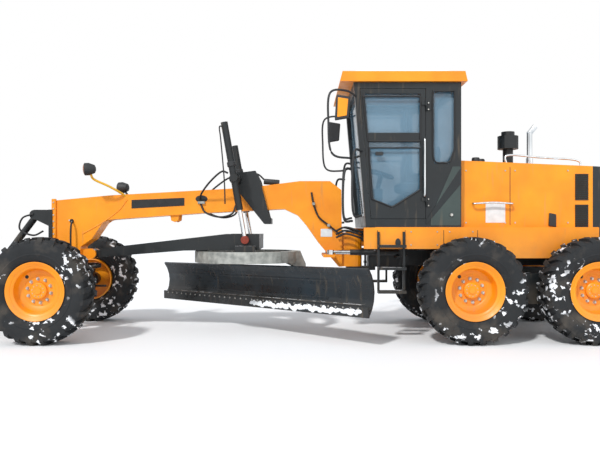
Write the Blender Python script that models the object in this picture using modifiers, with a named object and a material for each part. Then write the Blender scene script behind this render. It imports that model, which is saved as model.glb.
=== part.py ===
"""Articulated six-wheel motor grader, in metres.

Frame: +X forward, +Y to the machine's left, +Z up, origin on the ground under the middle.
Each moving group hangs from an empty that stands on its joint's axis.
"""

import math

import bmesh
import bpy
from mathutils import Matrix, Vector

SEAT = 0.0003  # gap between two pieces that touch
BORE_GAP = 0.0006  # radial gap between a rod or pin and its bore

TYRE_RADIUS = 0.675
TYRE_WIDTH = 0.445
TYRE_SIDES = 28
RIM_SIDES = 20
RIM_RADIUS = 0.318
FLANGE_RADIUS = 0.37
BEAD_HALF_WIDTH = 0.165
HALF_TRACK = 1.075
HUB_Z = TYRE_RADIUS * math.cos(math.pi / TYRE_SIDES)  # the tyre stands on one flat side
FRONT_AXLE_X = 3.27
TANDEM_TYRE_GAP = 0.188
LADDER_X = (-1.36, -1.00)
LADDER_TYRE_GAP = 0.127
MID_X = LADDER_X[0] - LADDER_TYRE_GAP - TYRE_RADIUS
REAR_X = MID_X - 2 * TYRE_RADIUS - TANDEM_TYRE_GAP
TANDEM_X = (MID_X + REAR_X) / 2
REAR_DISC = -0.04  # outward offset of a rim's inner disc face
FRONT_DISC = 0.01
CASE_Y = (0.62, 0.82)
CASE_HALF_DEPTH = 0.20

HINGE_X = -0.78
HINGE_PIN_RADIUS = 0.05
TONGUE_RADIUS = 0.17
TONGUE_Z = (0.92, 1.40)
TONGUE_HALF_WIDTH = 0.10
LUG_THICKNESS = 0.05
CYLINDER_RADIUS = 0.0475
ROD_RADIUS = 0.03

PIN_Z = 1.13  # the steering hinge's two cylinders
PIN_REAR = (-1.38, 0.47)
PIN_FRONT = (-0.42, 0.36)
RAIL_Z = (0.95, 1.18)
RAIL_Y = (0.24, 0.34)
REAR_END_X = -4.62
DECK_Z = 1.47
DECK_PLATE = 0.04
SKIRT_Z = 1.187
SKIRT_Y = 0.835
DECK_FRONT_X = -0.98
HOOD_REAR_X = -3.88

CAB_HALF_WIDTH = 0.80
CAB_WALL = 0.05
CAB_TOP = 3.36
CAB_FRONT_X = (-0.86, -0.70)  # at the floor and at the roof
CAB_REAR_X = -2.10
ROOF_THICKNESS = 0.13
DOOR_Z = (1.576, 3.28)
DOOR_HINGE_X = -1.64
DOOR_GAP = 0.006
GLASS = 0.006
HINGE_ZS = (1.80, 3.05)

HOOD_FRONT_X = -2.13
HOOD_HALF_WIDTH = 0.65
HOOD_TOP_Z = (2.28, 2.355)  # at the rear and at the front
SHEET = 0.03

BEAM_HALF_WIDTH = 0.16
AXLE_HALF_X = 0.05
AXLE_PIVOT_Z = 0.75
LEAN_Y = 0.56
KINGPIN_Y = 0.88
LEAN_BAR_Z = 0.90
LEAN_BAR_X = 3.035
STEERING_ARM_X = 3.05

BALL = Vector((2.95, 0.0, 1.10))
CIRCLE_X = 0.74
CIRCLE_RADIUS = 0.75
CIRCLE_Z = (0.985, 1.14)
BLADE_YAW = math.radians(45.7)
BLADE_ROLL = math.radians(0.9)
BLADE_LENGTH = 4.27
BLADE_HEIGHT = 0.55
BLADE_BOTTOM = 0.375
BLADE_SAG = 0.10
BLADE_PLATE = 0.025
ARM_Y = (0.62, 0.70)
TILT_PIVOT = (-0.30, 0.50)  # forward and up, in the blade's own frame
LIFT_Y = 0.55
LIFT_TRUNNION = (0.885, 2.13)
LIFT_EYE = (0.738, 1.30)

BLADE_FRAME = (
    Matrix.Translation((CIRCLE_X, 0, 0))
    @ Matrix.Rotation(BLADE_YAW, 4, "Z")
    @ Matrix.Translation((0, 0, CIRCLE_Z[0]))
    @ Matrix.Rotation(BLADE_ROLL, 4, "X")
    @ Matrix.Translation((0, 0, -CIRCLE_Z[0]))
)

SIDES = (("left", 1), ("right", -1))
RAIL_HEIGHTS = (0.52, 0.80)
BLADE_SHIFT = 0.03
LIFT_BARREL_TOP = {"left": 0.76, "right": 0.585}
BRACKET_X = 3.46 + SEAT
FRONT_LIFT_TOP = (3.75, 1.65)
FRONT_LIFT_PIVOT = (3.66, 0.60)
FRONT_LIFT_EYE = (4.39, 0.80)
FRONT_EAR_Y = (0.06, 0.10)
LIFT_ARM_Y = (0.10, 0.15)
FRONT_END_X = 4.62
WHEEL_CARRIER = {
    "left_front": "left_knuckle",
    "right_front": "right_knuckle",
    "left_mid": "left_tandem_case",
    "right_mid": "right_tandem_case",
    "left_rear": "left_tandem_case",
    "right_rear": "right_tandem_case",
}

ORANGE = ("grader_orange", (0.90, 0.38, 0.02), 0.45, 0.0)
DARK = ("dark_paint", (0.02, 0.03, 0.035), 0.5, 0.1)
STEEL = ("worn_steel", (0.30, 0.31, 0.32), 0.45, 0.7)
CHROME = ("chrome", (0.85, 0.86, 0.88), 0.12, 1.0)
RUBBER = ("tyre_rubber", (0.03, 0.03, 0.032), 0.85, 0.0)
WINDOW = ("window_glass", (0.55, 0.68, 0.75), 0.05, 0.0)
FABRIC = ("seat_fabric", (0.04, 0.04, 0.045), 0.9, 0.0)

for old in list(bpy.data.objects):
    bpy.data.objects.remove(old)
grader = bpy.data.collections.new("motor_grader")
workshop = bpy.data.collections.new("cutters")
for group in (grader, workshop):
    bpy.context.scene.collection.children.link(group)
axes, places = {}, {}


def material(name, colour, roughness, metallic):
    """The named material, made on its first use."""
    found = bpy.data.materials.get(name)
    if found:
        return found
    made = bpy.data.materials.new(name)
    made.use_nodes = True
    shader = made.node_tree.nodes["Principled BSDF"]
    shader.inputs["Base Color"].default_value = (*colour, 1)
    shader.inputs["Roughness"].default_value = roughness
    shader.inputs["Metallic"].default_value = metallic
    return made


def from_bmesh(shape, matrix=None):
    """A workshop object from a bmesh, with its normals pointing out."""
    if matrix:
        bmesh.ops.transform(shape, matrix=matrix, verts=shape.verts)
    bmesh.ops.remove_doubles(shape, verts=shape.verts, dist=1e-4)
    bmesh.ops.recalc_face_normals(shape, faces=shape.faces)
    mesh = bpy.data.meshes.new("shape")
    shape.to_mesh(mesh)
    shape.free()
    made = bpy.data.objects.new("shape", mesh)
    made.hide_render = True
    made.display_type = "WIRE"
    workshop.objects.link(made)
    return made


def box(x, y, z, matrix=None):
    """A block from the low to the high limit on each axis."""
    low = Vector((min(x), min(y), min(z)))
    high = Vector((max(x), max(y), max(z)))
    shape = bmesh.new()
    place = Matrix.LocRotScale((low + high) / 2, None, high - low)
    bmesh.ops.create_cube(shape, size=1, matrix=place)
    return from_bmesh(shape, matrix)


def rod(start, end, radius, sides=16, matrix=None):
    """A round bar between two points."""
    start, end = Vector(start), Vector(end)
    along = end - start
    shape = bmesh.new()
    turn = along.to_track_quat("Z", "Y").to_matrix().to_4x4()
    place = Matrix.Translation((start + end) / 2) @ turn
    bmesh.ops.create_cone(
        shape,
        cap_ends=True,
        segments=sides,
        radius1=radius,
        radius2=radius,
        depth=along.length,
        matrix=place,
    )
    return from_bmesh(shape, matrix)


SIDE = Matrix(((1, 0, 0, 0), (0, 0, -1, 0), (0, 1, 0, 0), (0, 0, 0, 1)))  # outline in x, z
PLAN = Matrix.Identity(4)  # outline in x, y
FRONT = Matrix(((0, 0, 1, 0), (1, 0, 0, 0), (0, 1, 0, 0), (0, 0, 0, 1)))  # outline in y, z


def plate(outline, low, high, view=SIDE, matrix=None):
    """A flat outline extruded between two offsets along the view's own axis."""
    curve = bpy.data.curves.new("outline", "CURVE")
    curve.dimensions = "2D"
    curve.fill_mode = "BOTH"
    curve.extrude = (high - low) / 2
    line = curve.splines.new("POLY")
    line.points.add(len(outline) - 1)
    for point, (across, up) in zip(line.points, outline):
        point.co = (across, up, 0, 1)
    line.use_cyclic_u = True
    holder = bpy.data.objects.new("outline", curve)
    workshop.objects.link(holder)
    graph = bpy.context.evaluated_depsgraph_get()
    mesh = bpy.data.meshes.new_from_object(holder.evaluated_get(graph))
    bpy.data.objects.remove(holder)
    shape = bmesh.new()
    shape.from_mesh(mesh)
    middle = (low + high) / 2 * (-1 if view is SIDE else 1)
    place = view @ Matrix.Translation((0, 0, middle))
    return from_bmesh(shape, (matrix or Matrix.Identity(4)) @ place)


def arc(centre, radius, start, end, steps):
    """Points of an arc, in degrees."""
    turns = [math.radians(start + (end - start) * i / steps) for i in range(steps + 1)]
    return [(centre[0] + radius * math.cos(t), centre[1] + radius * math.sin(t)) for t in turns]


def turned(profile, centre, outward, sides):
    """A ring or disc turned about Y from (radius, outward offset) points."""
    start = math.pi / 2 + math.pi / sides
    mesh = bpy.data.meshes.new("profile")
    points = [(r * math.cos(start), outward * w, r * math.sin(start)) for r, w in profile]
    open_at_axis = profile[0][0] == 0 and profile[-1][0] == 0
    edges = [(i, i + 1) for i in range(len(points) - 1)]
    edges += [] if open_at_axis else [(len(points) - 1, 0)]
    mesh.from_pydata(points, edges, [])
    holder = bpy.data.objects.new("profile", mesh)
    workshop.objects.link(holder)
    screw = holder.modifiers.new("turn", "SCREW")
    screw.axis = "Y"
    screw.steps = screw.render_steps = sides
    screw.use_merge_vertices = True
    screw.merge_threshold = 0.0001
    graph = bpy.context.evaluated_depsgraph_get()
    surface = bpy.data.meshes.new_from_object(holder.evaluated_get(graph))
    bpy.data.objects.remove(holder)
    shape = bmesh.new()
    shape.from_mesh(surface)
    return from_bmesh(shape, Matrix.Translation(centre))


def axis(name, position=(0, 0, 0), parent=None):
    """An empty on a joint's axis, held by its parent body's empty."""
    holder = bpy.data.objects.new(name + "_axis", None)
    grader.objects.link(holder)
    places[name] = Vector(position)
    holder.location = places[name] - (places[parent] if parent else Vector())
    holder.parent = axes.get(parent)
    axes[name] = holder


def node(name, finish, body, pieces, cuts=(), common=None, after=(), solver="EXACT"):
    """One named solid: its pieces joined, then cut, then placed under its body's empty."""
    first, *others = pieces
    steps = [(other, "UNION") for other in others]
    steps += [(common, "INTERSECT")] if common else []
    steps += [(cut, "DIFFERENCE") for cut in cuts]
    steps += [(late, "UNION") for late in after]
    for other, operation in steps:
        modifier = first.modifiers.new(operation, "BOOLEAN")
        modifier.operation = operation
        modifier.solver = solver
        modifier.object = other
    graph = bpy.context.evaluated_depsgraph_get()
    mesh = bpy.data.meshes.new_from_object(first.evaluated_get(graph))
    for used in (first, *(other for other, _ in steps)):
        bpy.data.objects.remove(used)
    mesh.transform(Matrix.Translation(-places[body]))
    mesh.materials.clear()
    mesh.materials.append(material(*finish))
    made = bpy.data.objects.new(name, mesh)
    grader.objects.link(made)
    made.parent = axes[body]
    mesh.shade_smooth()
    mesh.set_sharp_from_angle(angle=math.radians(35))
    return made


def wheel(name, centre, outward, disc):
    """A tyre and its rim; disc is the outward offset of the rim's inner disc face."""
    axis(name, centre, WHEEL_CARRIER[name])
    half = TYRE_WIDTH / 2
    bead = (RIM_RADIUS + SEAT) / math.cos(math.pi / TYRE_SIDES)
    crown = [
        (bead, BEAD_HALF_WIDTH - SEAT),
        (FLANGE_RADIUS + 0.005, BEAD_HALF_WIDTH - SEAT),
        (0.45, half - 0.01),
        (0.55, half),
        (TYRE_RADIUS - 0.03, half - 0.025),
        (TYRE_RADIUS, half - 0.07),
    ]
    outline = [(r, -w) for r, w in crown] + [(r, w) for r, w in reversed(crown)]
    node(name + "_tyre", RUBBER, name, [turned(outline, centre, outward, TYRE_SIDES)])
    edge = BEAD_HALF_WIDTH + 0.02
    rim = [
        (0, disc),
        (RIM_RADIUS - 0.02, disc),
        (RIM_RADIUS - 0.02, -edge),
        (RIM_RADIUS, -edge),
        (RIM_RADIUS, BEAD_HALF_WIDTH),
        (FLANGE_RADIUS, BEAD_HALF_WIDTH),
        (FLANGE_RADIUS, edge),
        (RIM_RADIUS - 0.015, edge),
        (RIM_RADIUS - 0.04, disc + 0.025),
        (0.115, disc + 0.025),
        (0.105, disc + 0.09),
        (0, disc + 0.09),
    ]
    node(name + "_rim", ORANGE, name, [turned(rim, centre, outward, RIM_SIDES)])


def rear_frame():
    """Two rails, cross members, a tapered nose and the articulation clevis."""
    nose_z = TONGUE_Z
    plan = [
        (-1.40, -RAIL_Y[1]),
        (HINGE_X - TONGUE_RADIUS - 0.03, -0.14),
        (HINGE_X - TONGUE_RADIUS - 0.03, 0.14),
        (-1.40, RAIL_Y[1]),
    ]
    pieces = [plate(plan, nose_z[0], nose_z[1], PLAN)]
    for side in (-1, 1):
        rail = (side * RAIL_Y[0], side * RAIL_Y[1])
        pieces.append(box((REAR_END_X + 0.04, -1.36), rail, RAIL_Z))
        pieces.append(
            box((-1.46, -1.30), (side * 0.25, side * (PIN_REAR[1] + 0.06)), (1.05, PIN_Z - 0.045 - SEAT))
        )
    for low, high in ((-1.60, -1.45), (-2.60, -2.45), (-3.60, -3.45), (-4.45, -4.30)):
        pieces.append(box((low, high), (-0.30, 0.30), RAIL_Z))
    for low in (-1.55, -3.00, -3.70):
        pieces.append(
            box((low - 0.10, low), (-0.70, 0.70), (RAIL_Z[1] - 0.02, DECK_Z - DECK_PLATE - SEAT))
        )
    pieces.append(box((REAR_END_X, REAR_END_X + 0.05), (-0.62, 0.62), (RAIL_Z[0] - 0.05, DECK_Z - 0.1)))
    lug = [(-1.0, -0.14), *arc((HINGE_X, 0), 0.13, -90, 90, 8), (-1.0, 0.14)]
    for low, high in (
        (TONGUE_Z[0] - SEAT - LUG_THICKNESS, TONGUE_Z[0] - SEAT),
        (TONGUE_Z[1] + SEAT, TONGUE_Z[1] + SEAT + 0.025),
    ):
        pieces.append(plate(lug, low, high, PLAN))
    pieces.append(
        box(
            (-1.06, -0.96),
            (-0.12, 0.12),
            (TONGUE_Z[0] - SEAT - LUG_THICKNESS, TONGUE_Z[1] + SEAT + 0.025),
        ),
    )
    pin = rod((HINGE_X, 0, TONGUE_Z[0] - 0.03), (HINGE_X, 0, TONGUE_Z[1] + 0.01), HINGE_PIN_RADIUS)
    node("rear_frame", DARK, "rear", [*pieces, pin])


def deck():
    """The deck plate over the rear frame, with its side skirts."""
    inset = SKIRT_Y - 0.005
    rear, top = HOOD_REAR_X, DECK_Z - SEAT - 0.005
    pieces = [box((rear + 0.005, DECK_FRONT_X), (-inset, inset), (DECK_Z - DECK_PLATE, DECK_Z - SEAT))]
    skirt = [
        (-0.83, SKIRT_Z),
        (-0.83, top),
        (rear, top),
        (rear, SKIRT_Z),
        (TANDEM_X - 0.42, SKIRT_Z),
        (TANDEM_X - 0.30, SKIRT_Z - 0.12),
        (TANDEM_X + 0.30, SKIRT_Z - 0.12),
        (TANDEM_X + 0.42, SKIRT_Z),
    ]
    for side in (-1, 1):
        edges = sorted((side * (SKIRT_Y - CAB_WALL), side * SKIRT_Y))
        pieces.append(plate(skirt, *edges))
    node("deck_and_skirts", ORANGE, "rear", pieces, solver="MANIFOLD")


def ladder(name, side):
    """Two hanging straps with three treads below the skirt."""
    low, high = LADDER_X
    near = side * (SKIRT_Y + SEAT)
    strap = side * (SKIRT_Y + 0.03)
    pieces = []
    for x in (low, high - 0.03):
        pieces.append(box((x, x + 0.03), (near, strap), (0.62, DECK_Z - 0.06)))
    for z in (0.62, 0.92, SKIRT_Z + 0.02):
        pieces.append(box((low, high), (near, side * (SKIRT_Y + 0.14)), (z, z + 0.035)))
    node(name, DARK, "rear", pieces)


def cab_line(z, inset=0.0):
    """How far forward the cab's leaning front stands at a height."""
    share = (z - DECK_Z) / (CAB_TOP - DECK_Z)
    return CAB_FRONT_X[0] + share * (CAB_FRONT_X[1] - CAB_FRONT_X[0]) - inset


def cab_side(low, high, front_inset, rear):
    """A side outline between two heights that follows the leaning front."""
    return [
        (rear, low),
        (cab_line(low, front_inset), low),
        (cab_line(high, front_inset), high),
        (rear, high),
    ]


def cab():
    """The hollow cab, its roof, its fixed glass, the seat and the console."""
    outer, inner = CAB_HALF_WIDTH, CAB_HALF_WIDTH - CAB_WALL
    floor = DECK_Z + CAB_WALL
    shell = plate(cab_side(DECK_Z, CAB_TOP, 0, CAB_REAR_X), -outer, outer)
    hollow = plate(cab_side(floor, CAB_TOP + 0.1, CAB_WALL, CAB_REAR_X + CAB_WALL), -inner, inner)
    doorway = plate(cab_side(DOOR_Z[0], DOOR_Z[1], 0.07, DOOR_HINGE_X), -1, 1)
    screen = box(
        (CAB_FRONT_X[0] - 0.15, CAB_FRONT_X[1] + 0.2), (-inner + 0.05, inner - 0.05), (1.62, 3.24)
    )
    quarter = plate(
        [(-2.02, 3.25), (-2.02, 2.475), (-1.95, 2.30), (-1.75, 2.30), (-1.72, 2.40), (-1.72, 3.25)], -1, 1
    )
    rear = box((CAB_REAR_X - 0.1, CAB_REAR_X + 0.1), (-0.62, 0.62), (2.42, 3.25))
    hinges = []
    for side in (-1, 1):
        for z in HINGE_ZS:
            post = (side * (outer + 0.02))
            hinges.append(rod((DOOR_HINGE_X, post, z - 0.06), (DOOR_HINGE_X, post, z - SEAT), 0.018, 12))
            hinges.append(
                box(
                    (-1.70, DOOR_HINGE_X),
                    (side * (outer - 0.01), side * (outer + 0.02)),
                    (z - 0.06, z - 0.02),
                ),
            )
    node("cab_frame", DARK, "rear", [shell, *hinges], [hollow, doorway, screen, quarter, rear])
    roof = [
        (-0.52, CAB_TOP + SEAT),
        (-0.55, CAB_TOP + ROOF_THICKNESS),
        (-2.14, CAB_TOP + ROOF_THICKNESS),
        (-2.17, CAB_TOP + SEAT),
    ]
    node("cab_roof", ORANGE, "rear", [plate(roof, -outer - 0.06, outer + 0.06)])
    pane = [
        (cab_line(1.58, CAB_WALL + SEAT), 1.58),
        (cab_line(3.28, CAB_WALL + SEAT), 3.28),
        (cab_line(3.28, CAB_WALL + SEAT + GLASS), 3.28),
        (cab_line(1.58, CAB_WALL + SEAT + GLASS), 1.58),
    ]
    node("windshield", WINDOW, "rear", [plate(pane, -0.73, 0.73)])
    wide = inner - SEAT
    back = CAB_REAR_X + CAB_WALL + SEAT
    glass = box((back, -1.68), (-wide, wide), (2.26, 3.29))
    inside = box((back + GLASS, -1.60), (-wide + GLASS, wide - GLASS), (2.0, 3.4))
    node("rear_window", WINDOW, "rear", [glass], [inside])
    seat = [
        box((-1.72, -1.42), (-0.18, 0.18), (floor + SEAT, 1.85)),
        box((-1.85, -1.35), (-0.25, 0.25), (1.80, 1.98)),
        plate([(-1.90, 1.85), (-1.76, 1.85), (-1.86, 2.62), (-1.98, 2.62)], -0.23, 0.23),
    ]
    node("driver_seat", FABRIC, "rear", seat)
    column = [
        box((-1.15, -1.00), (-0.12, 0.12), (floor + SEAT, 1.95)),
        rod((-1.08, 0, 1.90), (-1.16, 0, 2.24), 0.035, 12),
        rod((-1.155, 0, 2.215), (-1.165, 0, 2.245), 0.19, 20),
        box((-1.14, -1.02), (-0.30, 0.30), (1.85, 2.00)),
    ]
    node("steering_console", FABRIC, "rear", column)


def door(name, side):
    """A door frame with two window openings, and the pane behind them."""
    axis(name, (DOOR_HINGE_X, side * (CAB_HALF_WIDTH + 0.02), DOOR_Z[0]), "rear")
    outer, inner = CAB_HALF_WIDTH, CAB_HALF_WIDTH - CAB_WALL
    edges = sorted((side * inner, side * outer))
    frame = plate(
        cab_side(DOOR_Z[0] + DOOR_GAP, DOOR_Z[1] - DOOR_GAP, 0.07 + DOOR_GAP, DOOR_HINGE_X + DOOR_GAP),
        *edges,
    )
    upper = plate(cab_side(2.70, 3.21, 0.13, -1.57), -1, 1)
    lower = plate(
        [
            (-1.57, 2.58),
            (cab_line(2.58, 0.13), 2.58),
            (cab_line(1.83, 0.13), 1.83),
            (-1.20, 1.72),
            (-1.57, 1.95),
        ], -1, 1
    )
    knuckles = []
    for z in HINGE_ZS:
        post = side * (outer + 0.02)
        knuckles.append(rod((DOOR_HINGE_X, post, z), (DOOR_HINGE_X, post, z + 0.06), 0.018, 12))
        knuckles.append(box((DOOR_HINGE_X, -1.58), (side * (outer - 0.01), post), (z + 0.01, z + 0.05)))
    node(name, DARK, name, [frame, *knuckles], [upper, lower])
    pane_y = sorted((side * (inner - SEAT), side * (inner - SEAT - GLASS)))
    node(name + "_glass", WINDOW, name, [plate(cab_side(1.68, 3.24, 0.10, -1.60), *pane_y)])


def hood_top(x):
    """The height of the hood's sloping top."""
    share = (x - HOOD_REAR_X) / (HOOD_FRONT_X - HOOD_REAR_X)
    return HOOD_TOP_Z[0] + share * (HOOD_TOP_Z[1] - HOOD_TOP_Z[0])


def engine_bay():
    """The hood shell, the engine inside, the radiator hood, the stack and the precleaner."""
    half = HOOD_HALF_WIDTH
    outer = [
        (HOOD_FRONT_X, DECK_Z),
        (HOOD_FRONT_X, HOOD_TOP_Z[1]),
        (HOOD_REAR_X, HOOD_TOP_Z[0]),
        (HOOD_REAR_X, DECK_Z),
    ]
    inner = [
        (HOOD_FRONT_X - SHEET, DECK_Z - 0.1),
        (HOOD_FRONT_X - SHEET, HOOD_TOP_Z[1] - SHEET),
        (HOOD_REAR_X + SHEET, HOOD_TOP_Z[0] - SHEET),
        (HOOD_REAR_X + SHEET, DECK_Z - 0.1),
    ]
    node(
        "engine_hood",
        ORANGE,
        "rear",
        [plate(outer, -half, half)],
        [plate(inner, -half + SHEET, half - SHEET)],
    )
    node("engine_block", STEEL, "rear", [box((-3.45, -2.35), (-0.38, 0.38), (DECK_Z, 2.15))])
    tail = [
        (HOOD_REAR_X - SEAT, RAIL_Z[1] + SEAT),
        (HOOD_REAR_X - SEAT, HOOD_TOP_Z[0]),
        (REAR_END_X + 0.05 + SEAT, HOOD_TOP_Z[0] - 0.04),
        (REAR_END_X + 0.05 + SEAT, RAIL_Z[1] + SEAT),
    ]
    node("radiator_hood", DARK, "rear", [plate(tail, -half, half)])
    base = hood_top(-3.2 + 0.05) + SEAT
    stack = [
        rod((-3.2, 0.20, base), (-3.2, 0.20, 2.80), 0.04, 16),
        rod((-3.2, 0.20, base), (-3.2, 0.20, base + 0.12), 0.05, 16),
        rod((-3.19, 0.20, 2.77), (-3.28, 0.20, 2.88), 0.04, 16),
    ]
    node("exhaust_stack", CHROME, "rear", stack)
    base = hood_top(-2.9 + 0.07) + SEAT
    cleaner = [
        rod((-2.9, 0.20, base), (-2.9, 0.20, 2.62), 0.07, 16),
        rod((-2.9, 0.20, 2.56), (-2.9, 0.20, 2.74), 0.14, 20),
        rod((-2.9, 0.20, 2.70), (-2.9, 0.20, 2.80), 0.09, 20),
    ]
    node("air_precleaner", DARK, "rear", cleaner)


def rear_axle():
    """The axle housing between the tandem cases, with pads under the rails."""
    pieces = [
        rod((TANDEM_X, -CASE_Y[0] + SEAT, HUB_Z), (TANDEM_X, CASE_Y[0] - SEAT, HUB_Z), 0.15, 16),
        rod((TANDEM_X, -0.22, HUB_Z), (TANDEM_X, 0.22, HUB_Z), 0.20, 16),
    ]
    for side in (-1, 1):
        rail = (side * RAIL_Y[0], side * RAIL_Y[1])
        pieces.append(box((TANDEM_X - 0.12, TANDEM_X + 0.12), rail, (HUB_Z, RAIL_Z[0] - SEAT)))
    node("rear_axle", DARK, "rear", pieces)


def tandem(name, side):
    """A tandem case that rocks on the axle's end, with its two wheel hubs."""
    axis(name, (TANDEM_X, side * CASE_Y[0], HUB_Z), "rear")
    edges = sorted((side * CASE_Y[0], side * CASE_Y[1]))
    outline = [
        *arc((MID_X, HUB_Z), CASE_HALF_DEPTH, -90, 90, 6),
        *arc((REAR_X, HUB_Z), CASE_HALF_DEPTH, 90, 270, 6),
    ]
    pieces = [plate(outline, *edges)]
    for x in (MID_X, REAR_X):
        hub_end = side * (HALF_TRACK + REAR_DISC - SEAT)
        pieces.append(rod((x, side * (CASE_Y[1] - 0.05), HUB_Z), (x, hub_end, HUB_Z), 0.12, 12))
    node(name, DARK, name, pieces)


def front_frame():
    """The gooseneck beam with its nose, hinge tongue, cylinder lugs and drawbar ears."""
    axis("front", (HINGE_X, 0, 0), "rear")
    beam = [
        (3.46, 0.62),
        (3.46, 1.80),
        (3.41, 1.85),
        (2.665, 1.92),
        (1.395, 1.99),
        (0.70, 2.03),
        (0.0, 2.12),
        (-0.42, 2.12),
        (-0.58, 1.995),
        (-0.59, TONGUE_Z[0]),
        (-0.544, TONGUE_Z[0]),
        (-0.265, 1.25),
        (-0.09, 1.50),
        (0.03, 1.64),
        (0.22, 1.73),
        (1.395, 1.67),
        (2.665, 1.58),
        (2.75, 1.56),
        (2.92, 1.31),
        (3.08, 1.20),
        (3.08, 0.62),
    ]
    half = BEAM_HALF_WIDTH
    tongue = [(-0.55, -TONGUE_HALF_WIDTH), (-0.55, TONGUE_HALF_WIDTH)]
    tongue += arc((HINGE_X, 0), TONGUE_HALF_WIDTH, 90, 270, 8)
    pieces = [plate(beam, -half, half), plate(tongue, TONGUE_Z[0], TONGUE_Z[1], PLAN)]
    for side in (-1, 1):
        lug_y = (side * (half - 0.04), side * (PIN_FRONT[1] + 0.05))
        pieces.append(box((PIN_FRONT[0] - 0.06, PIN_FRONT[0] + 0.10), lug_y, (1.06, PIN_Z - 0.03 - SEAT)))
        ear_y = sorted((side * (0.07 + SEAT), side * 0.11))
        ear = [*arc((BALL.x, BALL.z), 0.07, 90, 270, 8), (3.12, BALL.z - 0.07), (3.12, BALL.z + 0.07)]
        pieces.append(plate(ear, *ear_y))
    pieces.append(rod((BALL.x, -0.09, BALL.z), (BALL.x, 0.09, BALL.z), 0.03))
    axle_pin = rod((3.10, 0, AXLE_PIVOT_Z), (3.44, 0, AXLE_PIVOT_Z), 0.05)
    hole = rod(
        (HINGE_X, 0, 0.8), (HINGE_X, 0, 1.6), (HINGE_PIN_RADIUS + BORE_GAP) / math.cos(math.pi / 16)
    )
    front_x = (FRONT_AXLE_X - AXLE_HALF_X - SEAT, FRONT_AXLE_X + AXLE_HALF_X + SEAT)
    slot = box(front_x, (-0.3, 0.3), (0.5, 0.97))
    node("front_frame", ORANGE, "front", pieces, [hole, slot], after=[axle_pin])


def saddle():
    """The yoke over the beam that carries the two lift cylinders."""
    half = BEAM_HALF_WIDTH + SEAT
    pieces = [rod((0.885, -LIFT_Y + 0.07, 2.13), (0.885, LIFT_Y - 0.07, 2.13), 0.075)]
    arm = [(0.40, 1.52), (0.50, 1.52), (0.98, 2.12), (0.94, 2.22), (0.62, 2.26), (0.56, 2.14)]
    for side in (-1, 1):
        pieces.append(plate(arm, *sorted((side * half, side * (half + 0.07)))))
    pieces.append(box((0.40, 0.50), (-half - 0.05, half + 0.05), (1.52, 1.60)))
    pieces.append(box((0.62, 0.92), (-half - 0.05, half + 0.05), (2.06, 2.24)))
    node("lift_saddle", DARK, "front", pieces)


def front_bracket():
    """The plate on the nose that carries the front linkage and its cylinder."""
    x = BRACKET_X
    pieces = [box((x, x + 0.05), (-0.2, 0.2), (0.50, 1.72))]
    for side in (-1, 1):
        inner = FRONT_EAR_Y[0] + SEAT
        upper = [
            (x, 1.45), (FRONT_LIFT_TOP[0] - 0.02, 1.58), *arc(FRONT_LIFT_TOP, 0.07, -60, 90, 5), (x, 1.72)
        ]
        pieces.append(plate(upper, *sorted((side * inner, side * (inner + 0.04)))))
        lower = [(x, 0.50), *arc(FRONT_LIFT_PIVOT, 0.07, -90, 90, 6), (x, 0.72)]
        pieces.append(
            plate(lower, *sorted((side * (LIFT_ARM_Y[1] + SEAT), side * (LIFT_ARM_Y[1] + 0.04))))
        )
    node("front_bracket", DARK, "front", pieces)


def front_axle():
    """The oscillating axle beam, deep at its pivot and thin at its ends."""
    axis("front_axle", (FRONT_AXLE_X, 0, AXLE_PIVOT_Z), "front")
    half = [
        *arc((LEAN_Y, HUB_Z), 0.06, -90, 90, 6),
        (0.20, 0.88),
    ]
    outline = half + [(-y, z) for y, z in reversed(half)] + [(-0.16, 0.63), (0.16, 0.63)]
    low, high = FRONT_AXLE_X - AXLE_HALF_X, FRONT_AXLE_X + AXLE_HALF_X
    hole = rod((3, 0, AXLE_PIVOT_Z), (3.6, 0, AXLE_PIVOT_Z), (0.05 + BORE_GAP) / math.cos(math.pi / 16))
    node("front_axle", ORANGE, "front_axle", [plate(outline, low, high, FRONT)], [hole])


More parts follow.
